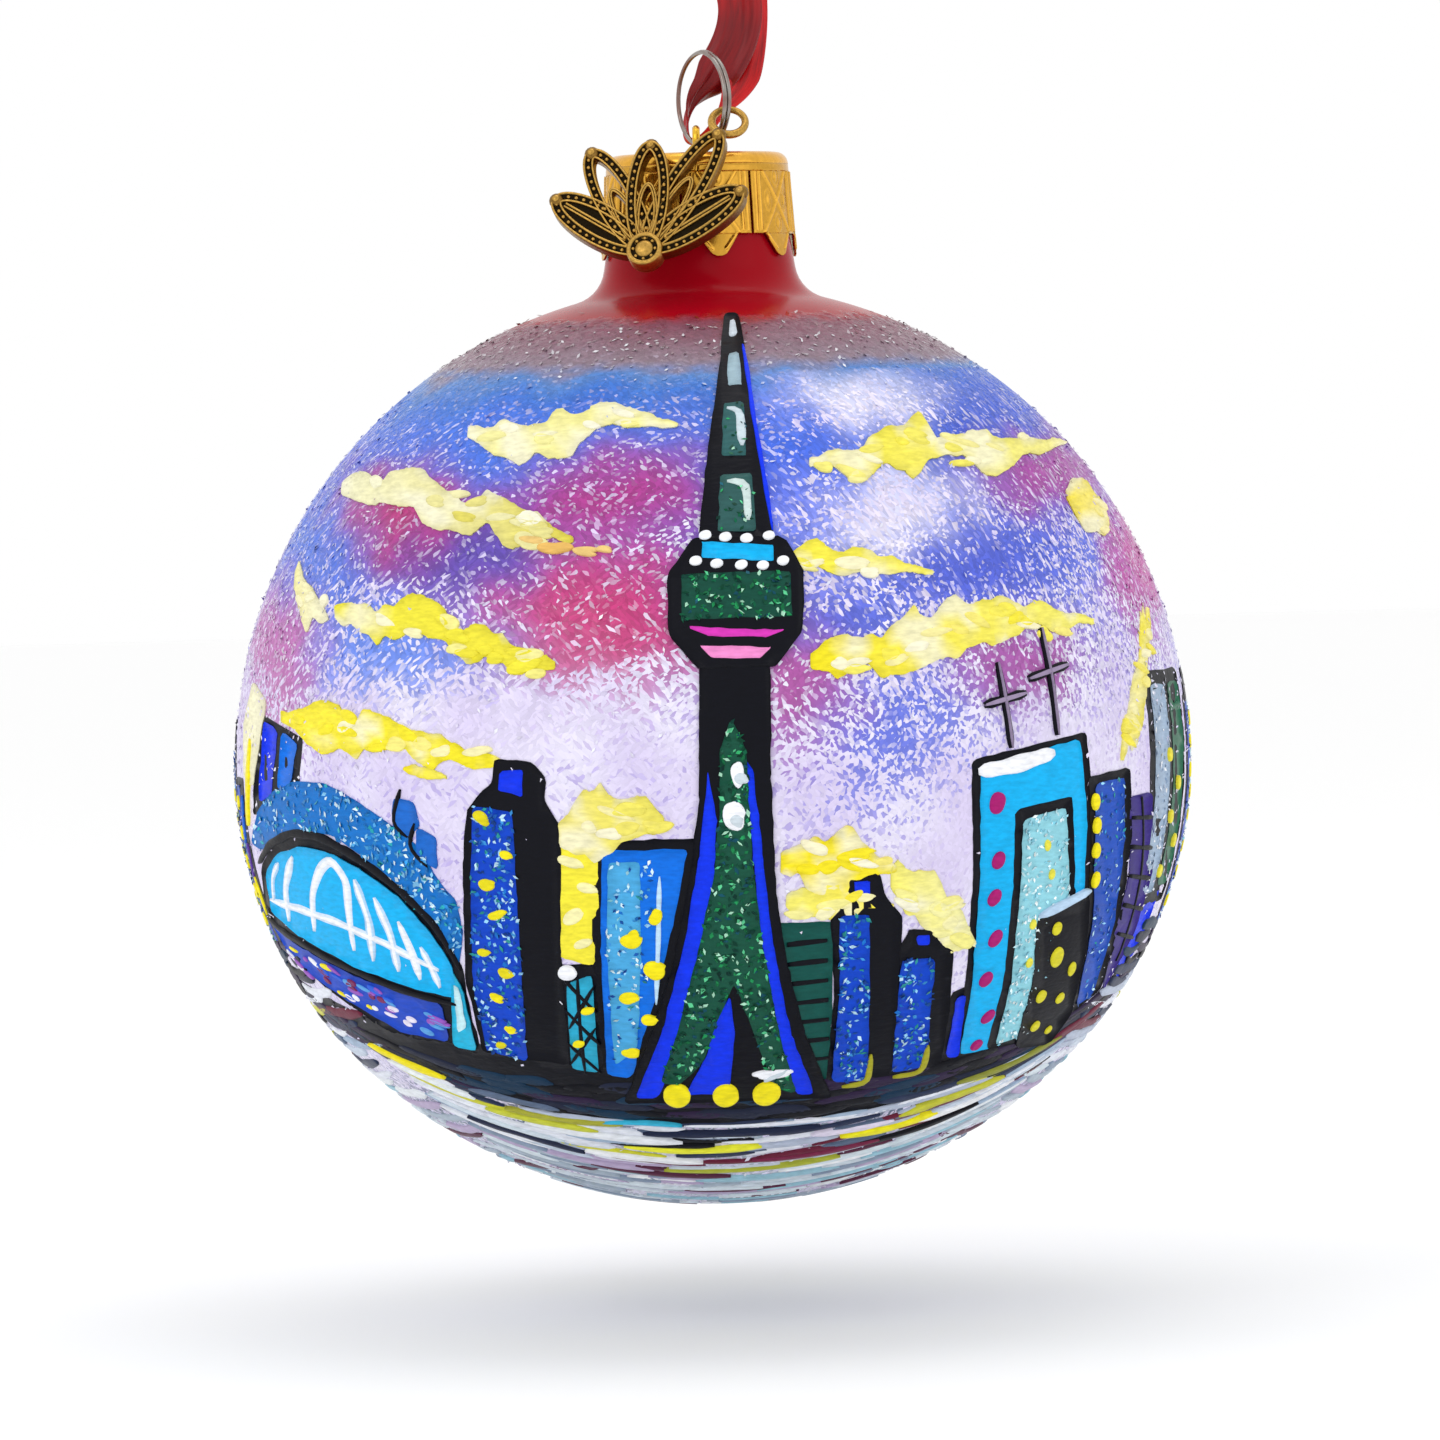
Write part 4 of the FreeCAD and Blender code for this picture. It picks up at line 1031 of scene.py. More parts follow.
def row_of_blocks(west_lon, last_lon, turn, feet):
    """Blocks side by side between two longitudes; feet gives the level of their feet."""
    while west_lon < last_lon - 3:
        east_lon = min(west_lon + random.uniform(6.0, 11.0), last_lon)
        foot = feet(west_lon)
        top = foot + random.uniform(12, 26)
        roof = random.choice(("flat", "stepped", "mast"))
        fill(far_side, standing(west_lon, east_lon, top, foot), BLACK, 0, turn)
        if roof == "stepped":
            fill(far_side, standing(west_lon + 2, east_lon - 1.8, top + 2.6, top - 1, 2),
                 BLACK, 1, turn)
        if roof == "mast":
            middle_lon = (west_lon + east_lon) / 2
            stroke(far_side, (upright(middle_lon, top), upright(middle_lon, top + 6.5)), 0.7,
                   BLACK, 1, turn, tips=0.4)
        face = standing(west_lon + 0.9, east_lon - 2.2, top - 0.8, foot + 0.3)
        paint = random.choice((ROYAL, AZURE, TURQUOISE, GREEN, "1c48c0"))
        fill(far_side, face, paint, 1, turn)
        if random.random() < 0.6:
            glints = random.choice((BLUE_GLITTER, GREEN_GLITTER, PALE_GLITTER))
            sparkle(far_glitter, face, glints, 1, 2.4, turn)
        level = top - 2.6
        while level > foot + 2:
            lon = random.uniform(west_lon + 2.2, east_lon - 3)
            dab(far_side, upright(lon, level), 1.4, 1.6, 0.2, YELLOW, 3, turn, 0.14)
            level -= random.uniform(2.2, 3.4)
        west_lon = east_lon + random.uniform(-0.6, 1.2)


row_of_blocks(-76, 77, math.pi, lambda lon: -31 + 0.0024 * (lon + 4) ** 2)
row_of_blocks(-9, 12.5, math.pi / 2, lambda lon: -18)
row_of_blocks(-12.5, 13, -math.pi / 2, lambda lon: -18)
far_side.piece("painted_far_shore", acrylic, "ball", "painted_glass")
far_glitter.piece("glitter_on_far_shore", glitter, "ball", "painted_glass", smooth=False)

# ==== Water =====================================================================
# Level brush strokes that mirror the lit shore, from black at the quay to silver white
# underneath. The strokes fan out along the ball from a line at each side.

HINGE_Z = -18.0             # the strokes lie on planes through this level, left to right
PLANE_STEPS = 40


def on_water(x, dip, back=False):
    """The point of the ball at x on the plane that dips so many degrees from level."""
    slant = math.radians(dip)
    low, high = 0.0, 70.0
    for _ in range(PLANE_STEPS):
        middle = (low + high) / 2
        y, z = -middle * math.cos(slant), HINGE_Z - middle * math.sin(slant)
        floor_z = -BALL_DEPTH + 0.01
        beyond = z < floor_z or math.hypot(x, y) > girth(max(z, floor_z))
        low, high = (low, middle) if beyond else (middle, high)
    y = low * math.cos(slant)
    return (x, y if back else -y, HINGE_Z - low * math.sin(slant))


def water_stroke(coat, x_from, x_to, dip, width, tint, layer, back=False):
    dips = [dip + random.uniform(-0.8, 0.8) for _ in range(3)]
    count = max(3, int(abs(x_to - x_from) / 2.5))
    path = []
    for number in range(count + 1):
        share = number / count
        lean = np.interp(share, (0, 0.5, 1), dips)
        path.append(on_water(x_from + (x_to - x_from) * share, lean, back))
    stroke(coat, path, width, tint, layer, tips=0.15, spatial=True)


def half_span(dip):
    """How far a plane's strokes run to each side before the ball turns away."""
    return np.interp(dip, (22, 30, 45, 60, 90), (42, 37, 29, 22, 12))


random.seed(55)
water = Coat()
# The dark quay under the buildings, front and back.
QUAY_TOP = ((-43.5, -21.4), (-40, -23), (-33, -25.8), (-26, -26.6), (-12, -29), (0, -32), (13, -31),
            (24, -29.4), (33, -28.4), (38, -25.4), (43, -20.6))
QUAY_FOOT = ((42, -24), (38, -28.2), (30, -32), (14, -35), (0, -36), (-13, -35), (-26, -32.4),
             (-33, -29.6), (-40, -24.8), (-43.8, -22.2))
for turn in (0.0, math.pi):
    fill(water, QUAY_TOP + QUAY_FOOT, BLACK, 0, turn)
DEEP = (BLACK, "1c2238", "10304a", "2a1c3c")
MIDDLE = (BLACK, "5a6a84", "b4bed2", "6a2038", "d0d038", "9fb4cc", "e8ecf4", "2a3450", "e2e6f0",
          "c6d2e2")
SILVER = ("e8edf2", "cdd8e2", "f4f6fa", "aab8c6", "8a9ab0", "d8e4ec", "b8a8c8", "9ac4d4", "5a2c44")
# Dark strokes by the quay, broken reflections, then silver under the ball.
for back in (False, True):
    for x in np.arange(-41, 42, 4.2):
        for dip in (21.5, 24, 26.5):
            lean = dip + random.uniform(-0.6, 0.6) + 0.0018 * x * x
            water_stroke(water, x - random.uniform(2, 5), x + random.uniform(2, 5), lean,
                         random.uniform(1.3, 2.0), random.choice(DEEP), 1, back)
    for dip in np.arange(29, 62, 1.5):
        span = half_span(dip)
        at = -span + random.uniform(0, 4)
        while at < span:
            long = random.uniform(5, 16)
            water_stroke(water, at, min(at + long, span + 2), dip + random.uniform(-0.8, 0.8),
                         random.uniform(0.6, 1.3), random.choice(MIDDLE if dip < 44 else SILVER),
                         random.randint(1, 3), back)
            at += long * random.uniform(0.7, 1.3)
    for dip in np.arange(62, 89, 2.6):
        span = half_span(dip)
        for _ in range(5):
            at = random.uniform(-span, span)
            water_stroke(water, at - 4, at + 4, dip, random.uniform(0.6, 1.2),
                         random.choice(SILVER), random.randint(1, 3), back)
# Level strokes fill the two sides, between the front and back strokes.
for turn in (-math.pi / 2, math.pi / 2):
    for z in np.arange(-17.6, -42, -1.1):
        at = random.uniform(-19, -14)
        while at < 13:
            long = random.uniform(5, 13)
            code = random.choice(DEEP if z > -22 else MIDDLE if z > -31 else SILVER)
            stroke(water, ((at, z), (at + long / 2, z - random.uniform(0, 0.8)), (at + long, z)),
                   random.uniform(0.8, 1.5), code, random.randint(1, 2), turn, tips=0.15)
            at += long * random.uniform(0.7, 1.2)
REFLECTIONS = (             # from x, to x, dip, width, colour
    (-36, -28, 27, 1.1, YELLOW), (-22, -10, 30.5, 0.8, "a8a838"), (-24, -12.5, 33, 1.1, "c8cc3c"),
    (-20, -4, 33.8, 1.3, "e8ecf2"), (-10, 4, 36.5, 1.0, "ecec38"), (12, 22, 37, 1.3, "f2e81c"),
    (9, 17.5, 34.2, 1.0, "e0d8ec"), (18, 29, 33, 1.2, "c4c43a"), (-34, -25, 30.5, 0.9, "e8eef2"),
    (-30, -16, 37.5, 0.9, "cfdce6"), (-14, -2, 41, 1.1, "f0f2f6"), (3, 16, 41.5, 0.9, "7a2848"),
    (-26, -14, 41, 0.9, "2a3048"), (-6, 12, 44.5, 0.8, "aeb43c"), (20, 30, 38.5, 1.0, "eef0f4"),
    (-8, 10, 31.5, 1.0, "1c2540"), (-12, -4, 29.3, 0.5, "38b4d8"), (24, 35, 29, 0.9, "8c9038"),
)
for x_from, x_to, dip, width, code in REFLECTIONS:
    water_stroke(water, x_from, x_to, dip, width, code, 5)
    water_stroke(water, -x_to, -x_from, dip, width, code, 5, back=True)
water.piece("painted_water", acrylic, "ball", "painted_glass")

# ==== Crushed glass =============================================================
# Clear chips of crushed glass stuck over the wet lacquer: thickest round the top,
# along the sides and under the water, and thin over the middle of the sky.

CHIPS = 26000               # thrown at the ball; each stays with the chance given by wanted
CHIP_SIZE = (0.72, 0.34)
DUSTED_BAND = (43.6, 2.2)   # level and half width of the thick band round the shoulder
SHORE_LEVELS = (-36, 0)     # the painted shore is dusted thinly
CLEAN_NECK = 47.2
GLINT = np.array([0.86, 0.88, 0.93])
chance = np.random.RandomState(4)
spun = chance.uniform(-math.pi, math.pi, CHIPS)
sine = chance.uniform(-1.0, 0.97, CHIPS)
spread = np.column_stack([
    np.sqrt(1 - sine ** 2) * np.sin(spun), -np.sqrt(1 - sine ** 2) * np.cos(spun), sine]) * 50
spread = settle(spread, 0.0)
sideways = np.clip((np.abs(spread[:, 0]) - 30) / 14, 0, 1)
band = np.exp(-((spread[:, 2] - DUSTED_BAND[0]) / DUSTED_BAND[1]) ** 2)
under = np.clip((SHORE_LEVELS[0] - spread[:, 2]) / 4, 0, 1)
shore = (spread[:, 2] > SHORE_LEVELS[0]) & (spread[:, 2] < SHORE_LEVELS[1])
wanted = np.clip(0.09 + 0.8 * band + 0.7 * sideways + 0.7 * under, 0, 1)
wanted *= np.where(shore, 0.2 + 0.35 * sideways, 1.0) * (spread[:, 2] < CLEAN_NECK)
wanted *= np.where(spread[:, 2] > 46, 0.25, 1.0)
spread = spread[chance.uniform(0, 1, CHIPS) < wanted]
under_colour, under_cover, under_ground = wash_at(spread)
chip_colour = under_colour * under_cover[:, None] + under_ground * (1 - under_cover[:, None])
# Painted glints: each chip takes the colour under it and is whitened by a random share towards GLINT.
painted_glint_share = chance.beta(1.1, 2.4, len(spread))[:, None]
chip_colour = chip_colour + (GLINT - chip_colour) * painted_glint_share
crushed_glass = Shards()
crushed_glass.scatter(
    spread, np.column_stack([chip_colour, np.ones(len(spread))]), CHIP_SIZE, (0.04, 0.14), 0.24)

# Crushed soda glass over lacquer: wet-looking splinters that glint white.
splinters, tree = start_material("crushed_glass_over_lacquer")
SPLINTER = 0.9 * MM
grains = add(tree, "ShaderNodeTexVoronoi", {
    "Vector": add(tree, "ShaderNodeTexCoord").outputs["Object"], "Scale": 1 / SPLINTER})
grain_parts = add(tree, "ShaderNodeSeparateColor", {"Color": grains.outputs["Color"]})
grain_tint = patterned_tint(tree, grain_parts.outputs[0], 0.82, 1.1)
grain_gloss = add(tree, "ShaderNodeMapRange", {
    "Value": grain_parts.outputs[1], "To Min": 0.05, "To Max": 0.3})
finish_material(tree, {
    "Base Color": grain_tint, "Roughness": grain_gloss.outputs[0], "IOR": 1.52})
crushed_glass.piece("crushed_glass_dusting", splinters, "ball", "painted_glass", smooth=False)

# ==== Cap =======================================================================
# Thin sheet brass, drawn into a cup, stamped with lattice and drops, then gilded. Saw
# cuts part the skirt into eight panels, each with a pointed tab over the neck.

CAP_TOP = 63.6
CAP_T = 0.25
CORNER_R = 1.25
CAP_R = 9.55                # outside, just under the rounded corner
PANEL_R = 10.0              # outside, at the lower edge of the panels
PANEL_Z = 55.0
TAB_R = 10.37
TAB_Z = 52.65
TAB_COUNT = 8
TAB_TURN = math.radians(12)
TAB_BASE = 4.6
TAB_TIP = 2.0
SLIT = 0.3
SLIT_TOP = 61.5
STAMP = 0.16                # how far the stamped pattern stands out
LEG_Y = 5.3                 # the hanger's legs pass through here


def bar_height(x, z, start, end, half_w):
    """A rounded ridge along a line of the pattern: 1 on the line and 0 past its width."""
    (ax, az), (bx, bz) = start, end
    length_sq = (bx - ax) ** 2 + (bz - az) ** 2
    share = np.clip(((x - ax) * (bx - ax) + (z - az) * (bz - az)) / length_sq, 0, 1)
    away = np.hypot(x - ax - share * (bx - ax), z - az - share * (bz - az))
    return np.sqrt(np.clip(1 - (away / half_w) ** 2, 0, 1))


def drop_height(x, z, middle, half_w, half_h):
    """A raised drop inside a fine rim."""
    away = np.hypot((x - middle[0]) / half_w, (z - middle[1]) / half_h)
    return 0.8 * np.clip(1 - away ** 2, 0, 1) + 0.5 * np.exp(-((away - 1.5) / 0.22) ** 2)


def stamped(x, z):
    """Height of the pattern on one panel and its tab, x from the panel's middle."""
    parts = [
        bar_height(abs(x), z, (3.25, 61.6), (3.35, 55.4), 0.2),
        bar_height(abs(x), z, (2.65, 61.6), (2.75, 55.4), 0.16),
        bar_height(x, z, (-2.3, 61.7), (2.3, 55.2), 0.2),
        bar_height(x, z, (2.3, 61.7), (-2.3, 55.2), 0.2),
        bar_height(abs(x), z, (2.0, 55.0), (0.75, 53.5), 0.16),
    ]
    for middle in ((0, 60.9), (0, 56.1)):
        parts.append(drop_height(x, z, middle, 0.42, 0.62))
    for middle in ((-1.5, 58.5), (1.5, 58.5)):
        parts.append(drop_height(x, z, middle, 0.3, 0.75))
    return np.max(parts, axis=0)


cap = Coat()


def cap_radius(z):
    return np.interp(z, (TAB_Z, PANEL_Z, CAP_TOP - CORNER_R), (TAB_R, PANEL_R, CAP_R))


def sheet(angles, z, turn, pattern):
    """Outer and inner faces of a stretch of the sheet, joined round their edges."""
    angle = angles + turn
    radius = cap_radius(z) + pattern * STAMP
    layers = []
    for inset in (0.0, CAP_T):
        r = radius - inset
        layers.append(np.stack([r * np.sin(angle), -r * np.cos(angle), z], axis=2).reshape(-1, 3))
    rows, cols = angle.shape
    size = rows * cols
    faces = [face[::-1] for face in grid_faces(rows, cols, wrap=False)]
    faces += [tuple(corner + size for corner in face[::-1]) for face in faces]
    rim = (
        [(0, c) for c in range(cols)] + [(r, cols - 1) for r in range(1, rows)]
        + [(rows - 1, c) for c in range(cols - 2, -1, -1)]
        + [(r, 0) for r in range(rows - 2, 0, -1)])
    rim = [r * cols + c for r, c in rim]
    faces += [(a, b, b + size, a + size) for a, b in zip(rim, rim[1:] + rim[:1])]
    # Painted shade: the stamped hollows are darkened, and the inner face is darker still.
    hollow = 1 - np.clip(pattern, 0, 1)
    shade = np.concatenate([0.62 + 0.38 * (1 - 0.75 * hollow.ravel()), np.full(size, 0.5)])
    gilt = np.array(srgb("efb445")[:3])
    tints = np.column_stack([shade[:, None] * gilt, np.ones(2 * size)])
    cap.put(np.vstack(layers), faces, tints)


half_angle = math.pi / TAB_COUNT - SLIT / 2 / PANEL_R
panel_angles = np.linspace(-half_angle, half_angle, 60)
panel_z = np.linspace(SLIT_TOP, PANEL_Z, 56)
TAB_ROWS = 18
TAB_COLS = 30
for number in range(TAB_COUNT):
    turn = TAB_TURN + number * 2 * math.pi / TAB_COUNT
    grid_angle = np.repeat(panel_angles[None], len(panel_z), axis=0)
    grid_z = np.repeat(panel_z[:, None], len(panel_angles), axis=1)
    sheet(grid_angle, grid_z, turn, stamped(grid_angle * PANEL_R, grid_z))
    share = np.linspace(0, 1, TAB_ROWS)
    half_w = np.interp(share, (0, 0.76, 0.9, 1), (
        TAB_BASE / 2, TAB_TIP / 2, TAB_TIP / 2 * 0.72, 0.12))
    level = PANEL_Z + 0.02 + (TAB_Z - PANEL_Z) * share
    grid_angle = np.linspace(-1, 1, TAB_COLS)[None] * (half_w / TAB_R)[:, None]
    grid_z = np.repeat(level[:, None], TAB_COLS, axis=1)
    sheet(grid_angle, grid_z, turn, stamped(grid_angle * TAB_R, grid_z))
COLLAR_ROWS = 4             # the plain collar above the slits
COLLAR_COLS = 161
round_angles = np.linspace(0, 2 * math.pi, COLLAR_COLS)
collar_z = np.linspace(CAP_TOP - CORNER_R, SLIT_TOP - 0.02, COLLAR_ROWS)
sheet(np.repeat(round_angles[None], COLLAR_ROWS, axis=0),
      np.repeat(collar_z[:, None], COLLAR_COLS, axis=1), 0.0, np.zeros((COLLAR_ROWS, COLLAR_COLS)))


def lathe(coat, profile, tint, frame_of=None, steps=96):
    """A turned shape from (r, height) points; frame_of carries it into place."""
    profile = np.asarray(profile, float)
    spin = np.linspace(0, 2 * math.pi, steps, endpoint=False)
    points = np.stack([
        profile[:, :1] * np.cos(spin), profile[:, :1] * np.sin(spin),
        np.repeat(profile[:, 1:2], steps, axis=1)], axis=2).reshape(-1, 3)
    if frame_of:
        origin, basis = frame_of
        points = np.asarray(origin) + points @ np.asarray(basis)
    coat.put(points, grid_faces(len(profile), steps, wrap=True), tint)


flat_r = CAP_R - CORNER_R
top_profile = np.vstack([
    [(0.01, CAP_TOP - CAP_T), (flat_r, CAP_TOP - CAP_T)],
    arc((flat_r, CAP_TOP - CORNER_R), CORNER_R - CAP_T, 90, 0, 8),
    arc((flat_r, CAP_TOP - CORNER_R), CORNER_R, 0, 90, 12),
    [(flat_r - 0.3, CAP_TOP - 0.05), (4.6, CAP_TOP - 0.05), (4.2, CAP_TOP), (0.01, CAP_TOP)]])
lathe(cap, top_profile, "e6ac42", steps=160)
for side in (-1, 1):
    lathe(cap, [(0.5, CAP_TOP - 0.02), (0.58, CAP_TOP + 0.1), (0.72, CAP_TOP + 0.1),
                (0.85, CAP_TOP - 0.03)], "b87c1c", ((0, side * LEG_Y, 0), np.eye(3)), 24)

# Gilded brass, stamped and burnished: bright yellow metal, with painted shade down in the pattern.
gilt_brass, tree = start_material("stamped_gilt_brass")
SCUFF = 0.5 * MM
scuffs = add(tree, "ShaderNodeTexNoise", {
    "Vector": add(tree, "ShaderNodeTexCoord").outputs["Object"], "Scale": 1 / SCUFF,
    "Detail": 4.0})
scuff_tint = patterned_tint(tree, scuffs.outputs[0], 0.88, 1.08, (0.3, 0.7))
scuff_gloss = add(tree, "ShaderNodeMapRange", {
    "Value": scuffs.outputs[0], "To Min": 0.14, "To Max": 0.34})
scuff_bump = add(tree, "ShaderNodeBump", {
    "Height": scuffs.outputs[0], "Strength": 0.25, "Distance": 0.04 * MM})
finish_material(tree, {
    "Base Color": scuff_tint, "Metallic": 1.0, "Roughness": scuff_gloss.outputs[0],
    "Normal": scuff_bump.outputs[0]})
cap_piece = cap.piece("stamped_cap", gilt_brass, "cap", "cap_metal")
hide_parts("cap")

# ==== Hanger wire and split ring ================================================
# A sprung wire hoop grips the inside of the neck and stands through the cap; a split
# ring of nickelled steel wire, wound one and a half times, threads it.


def drawn_wire(name, code, stain, stain_share, gloss):
    """Drawn wire: bright metal, with fine lines along it and a patchy stain."""
    material, tree = start_material(name)
    place = add(tree, "ShaderNodeTexCoord").outputs["Object"]
    patches = add(tree, "ShaderNodeTexNoise", {
        "Vector": place, "Scale": 1 / (3 * MM), "Detail": 3.0})
    stained = add(tree, "ShaderNodeMapRange", {
        "Value": patches.outputs[0], "From Min": 0.42, "From Max": 0.62, "To Max": stain_share})
    colour = add(tree, "ShaderNodeMix", {
        "Factor": stained.outputs[0], 6: srgb(code), 7: srgb(stain)}, data_type="RGBA")
    lines = add(tree, "ShaderNodeTexNoise", {
        "Vector": place, "Scale": 1 / (0.15 * MM), "Detail": 2.0})
    fine = add(tree, "ShaderNodeBump", {
        "Height": lines.outputs[0], "Strength": 0.2, "Distance": 0.02 * MM})
    dulled = add(tree, "ShaderNodeMapRange", {
        "Value": patches.outputs[0], "To Min": gloss, "To Max": gloss + 0.2})
    finish_material(tree, {
        "Base Color": colour.outputs[2], "Metallic": 1.0, "Roughness": dulled.outputs[0],
        "Normal": fine.outputs[0]})
    return material


def refinish(node, material):
    """Gives a CAD node its own finish."""
    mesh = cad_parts[node].data
    mesh.materials.clear()
    mesh.materials.append(material)


refinish("hanger_wire", drawn_wire("gilded_spring_wire", "e8b83c", "a87420", 0.6, 0.15))
refinish("split_ring", drawn_wire("nickelled_steel_wire", "9a948f", "7a5248", 0.75, 0.2))

# ==== Charm =====================================================================
# A cast fan of five loops on a boss, antique brass: raised polished rims, and channels
# between them filled with dark patina and set with a row of beads. It hangs by a bail.

CHARM_BASE = np.array((-5.5, -14.75, 53.2))
CHARM_YAW = math.radians(12)
CHARM_TILT = math.radians(25)
CHARM_T = 1.7
LOOP_FIRST = -58.0
LOOP_STEP = 28.5
LOOP_LENGTHS = (12.0, 13.5, 12.5, 15.2, 12.0)
LOOP_HALF_W = 2.3
RAIL_W = 1.15               # width of a loop's cast rail
RIM_W = 0.2                 # polished edge along each side of the rail
CHANNEL = 0.22              # depth of the channel between the rims
BEAD_PITCH = 0.86
BAIL_R = 1.75
BAIL_WIRE_R = 0.4
BAIL_CENTRE = np.array((3.4, -8.3, 66.6))
BAIL_AXIS = np.array((0.05, -0.766, 0.643))
POLISHED = srgb("c49a4c")
WORN = srgb("8e6c34")
PATINA = srgb("20190f")

face_normal = np.array((
    -math.sin(CHARM_YAW) * math.cos(CHARM_TILT), -math.cos(CHARM_YAW) * math.cos(CHARM_TILT),
    math.sin(CHARM_TILT)))
across = np.array((math.cos(CHARM_YAW), -math.sin(CHARM_YAW), 0))
upward = np.cross(face_normal, across)
charm_basis = np.array((across, upward, face_normal))
charm = Coat()


def on_charm(points):
    """From the charm's own plane to where it hangs."""
    return CHARM_BASE + np.atleast_2d(points) @ charm_basis


def bead(centre, radius, tint=POLISHED):
    """A round bead standing on the face of the charm."""
    profile = [(radius * math.cos(a), radius * math.sin(a)) for a in np.linspace(-0.3, 1.5, 6)]
    lathe(charm, profile + [(0.001, radius)], tint, (on_charm(centre)[0], charm_basis), 14)


def rail(path, width, low, high, shut=True):
    """A cast rail along a path in the charm's plane: two rims with a dark channel."""
    path = np.asarray(path, float)
    ahead = np.roll(path, -1, axis=0) - np.roll(path, 1, axis=0)
    if not shut:
        ahead = np.gradient(path, axis=0)
    ahead /= np.linalg.norm(ahead, axis=1)[:, None]
    side = np.column_stack([ahead[:, 1], -ahead[:, 0]])
    edge = width / 2
    rib = [
        (-edge, low, WORN), (-edge, high - 0.1, WORN), (-edge + 0.07, high, POLISHED),
        (-edge + RIM_W, high, POLISHED), (-edge + RIM_W + 0.05, high - CHANNEL, PATINA),
        (edge - RIM_W - 0.05, high - CHANNEL, PATINA), (edge - RIM_W, high, POLISHED),
        (edge - 0.07, high, POLISHED), (edge, high - 0.1, WORN), (edge, low, WORN)]
    points = np.stack([
        np.column_stack([path + side * offset, np.full(len(path), level)])
        for offset, level, _ in rib], axis=1).reshape(-1, 3)
    count = len(rib)
    faces = []
    for at in range(len(path) if shut else len(path) - 1):
        here, there = at * count, (at + 1) % len(path) * count
        faces += [
            (here + k, here + (k + 1) % count, there + (k + 1) % count, there + k)
            for k in range(count)]
    if not shut:
        last = (len(path) - 1) * count
        faces += [tuple(range(count)), tuple(range(last, last + count))[::-1]]
    charm.put(on_charm(points), faces, np.array([tint for _ in path for _, _, tint in rib]))


def ellipse(length, half_w, heading, inset, steps=72):
    """A loop's middle line: an ellipse that starts at the boss, in the charm's plane."""
    spin = np.linspace(0, 2 * math.pi, steps, endpoint=False)
    x = (half_w - inset) * np.sin(spin)
    y = length / 2 - (length / 2 - inset) * np.cos(spin)
    return np.column_stack([
        x * math.cos(heading) + y * math.sin(heading), -x * math.sin(heading) + y * math.cos(heading)])


def bead_row(path, high):
    """Beads at an even pitch along a closed path."""
    loop = np.vstack([path, path[:1]])
    length = travel_along(loop)
    for travel in np.arange(BEAD_PITCH / 2, length[-1], BEAD_PITCH):
        spot = [np.interp(travel, length, loop[:, k]) for k in range(2)]
        if math.hypot(*spot) > 2.2:
            bead((*spot, high - CHANNEL - 0.03), 0.22)


for number, length in enumerate(LOOP_LENGTHS):
    heading = math.radians(LOOP_FIRST + number * LOOP_STEP)
    stack = 0.1 * (2 - abs(number - 2)) - (0.12 if number % 2 else 0)
    high = CHARM_T / 2 - 0.2 + stack
    centre_line = ellipse(length, LOOP_HALF_W, heading, RAIL_W / 2)
    rail(centre_line, RAIL_W, -CHARM_T / 2, high)
    bead_row(centre_line, high)
    direction = np.array((math.sin(heading), math.cos(heading)))
    if number in (0, 4):
        # The lowest loops are solid, with a raised vein down the middle.
        leaf = ellipse(length, LOOP_HALF_W, heading, RAIL_W - 0.05)
        for level, tint in ((high - 0.3, PATINA), (-CHARM_T / 2 + 0.1, WORN)):
            ring = on_charm(np.column_stack([leaf, np.full(len(leaf), level)]))
            charm.put(ring, [tuple(range(len(leaf)))], tint)
        spine = [direction * share for share in np.linspace(2.4, length - 1.6, 12)]
        rail(spine, 0.62, -CHARM_T / 2 + 0.1, high - 0.08, shut=False)
    else:
        # An inner loop curls inside each open one.
        inner = ellipse(length * 0.62, LOOP_HALF_W * 0.52, heading, 0.25, 48)
        rail(inner, 0.5, -CHARM_T / 2 + 0.15, high - 0.12)
    tip = direction * (length - 0.4)
    bead((*tip, 0.05), 0.83, WORN)
    bead((*tip, 0.3), 0.62)

boss = [(0.001, -1.1), (1.7, -1.1), (1.9, -0.9), (1.9, 0.85), (1.75, 1.05), (1.45, 1.08),
        (1.4, 0.85), (0.95, 0.85), (0.85, 1.0), (0.5, 1.1), (0.001, 1.12)]
boss_tints = [PATINA if 6 <= k <= 7 else POLISHED for k in range(len(boss))]
lathe(charm, boss, np.repeat(boss_tints, 48, axis=0), (CHARM_BASE, charm_basis), 48)
for spin in np.linspace(0, 2 * math.pi, 9)[:-1]:
    bead((1.17 * math.cos(spin), 1.17 * math.sin(spin), 0.83), 0.2)


def tube(coat, path, radii, tint, shut=False):
    """A round bar along points in space, with a radius at each."""
    path = np.asarray(path, float)
    ahead = np.gradient(path, axis=0)
    if shut:
        ahead = np.roll(path, -1, axis=0) - np.roll(path, 1, axis=0)
    ahead /= np.linalg.norm(ahead, axis=1)[:, None]
    side = np.cross(ahead, (0.31, 0.87, 0.38))
    side /= np.linalg.norm(side, axis=1)[:, None]
    over = np.cross(side, ahead)
    steps = 18
    spin = np.linspace(0, 2 * math.pi, steps, endpoint=False)[None, :, None]
    rounds = side[:, None] * np.cos(spin) + over[:, None] * np.sin(spin)
    points = path[:, None] + rounds * np.asarray(radii)[:, None, None]
    faces = grid_faces(len(path), steps, wrap=True)
    if shut:
        last = (len(path) - 1) * steps
        faces += [(last + k, last + (k + 1) % steps, (k + 1) % steps, k) for k in range(steps)]
    coat.put(points.reshape(-1, 3), faces, tint)


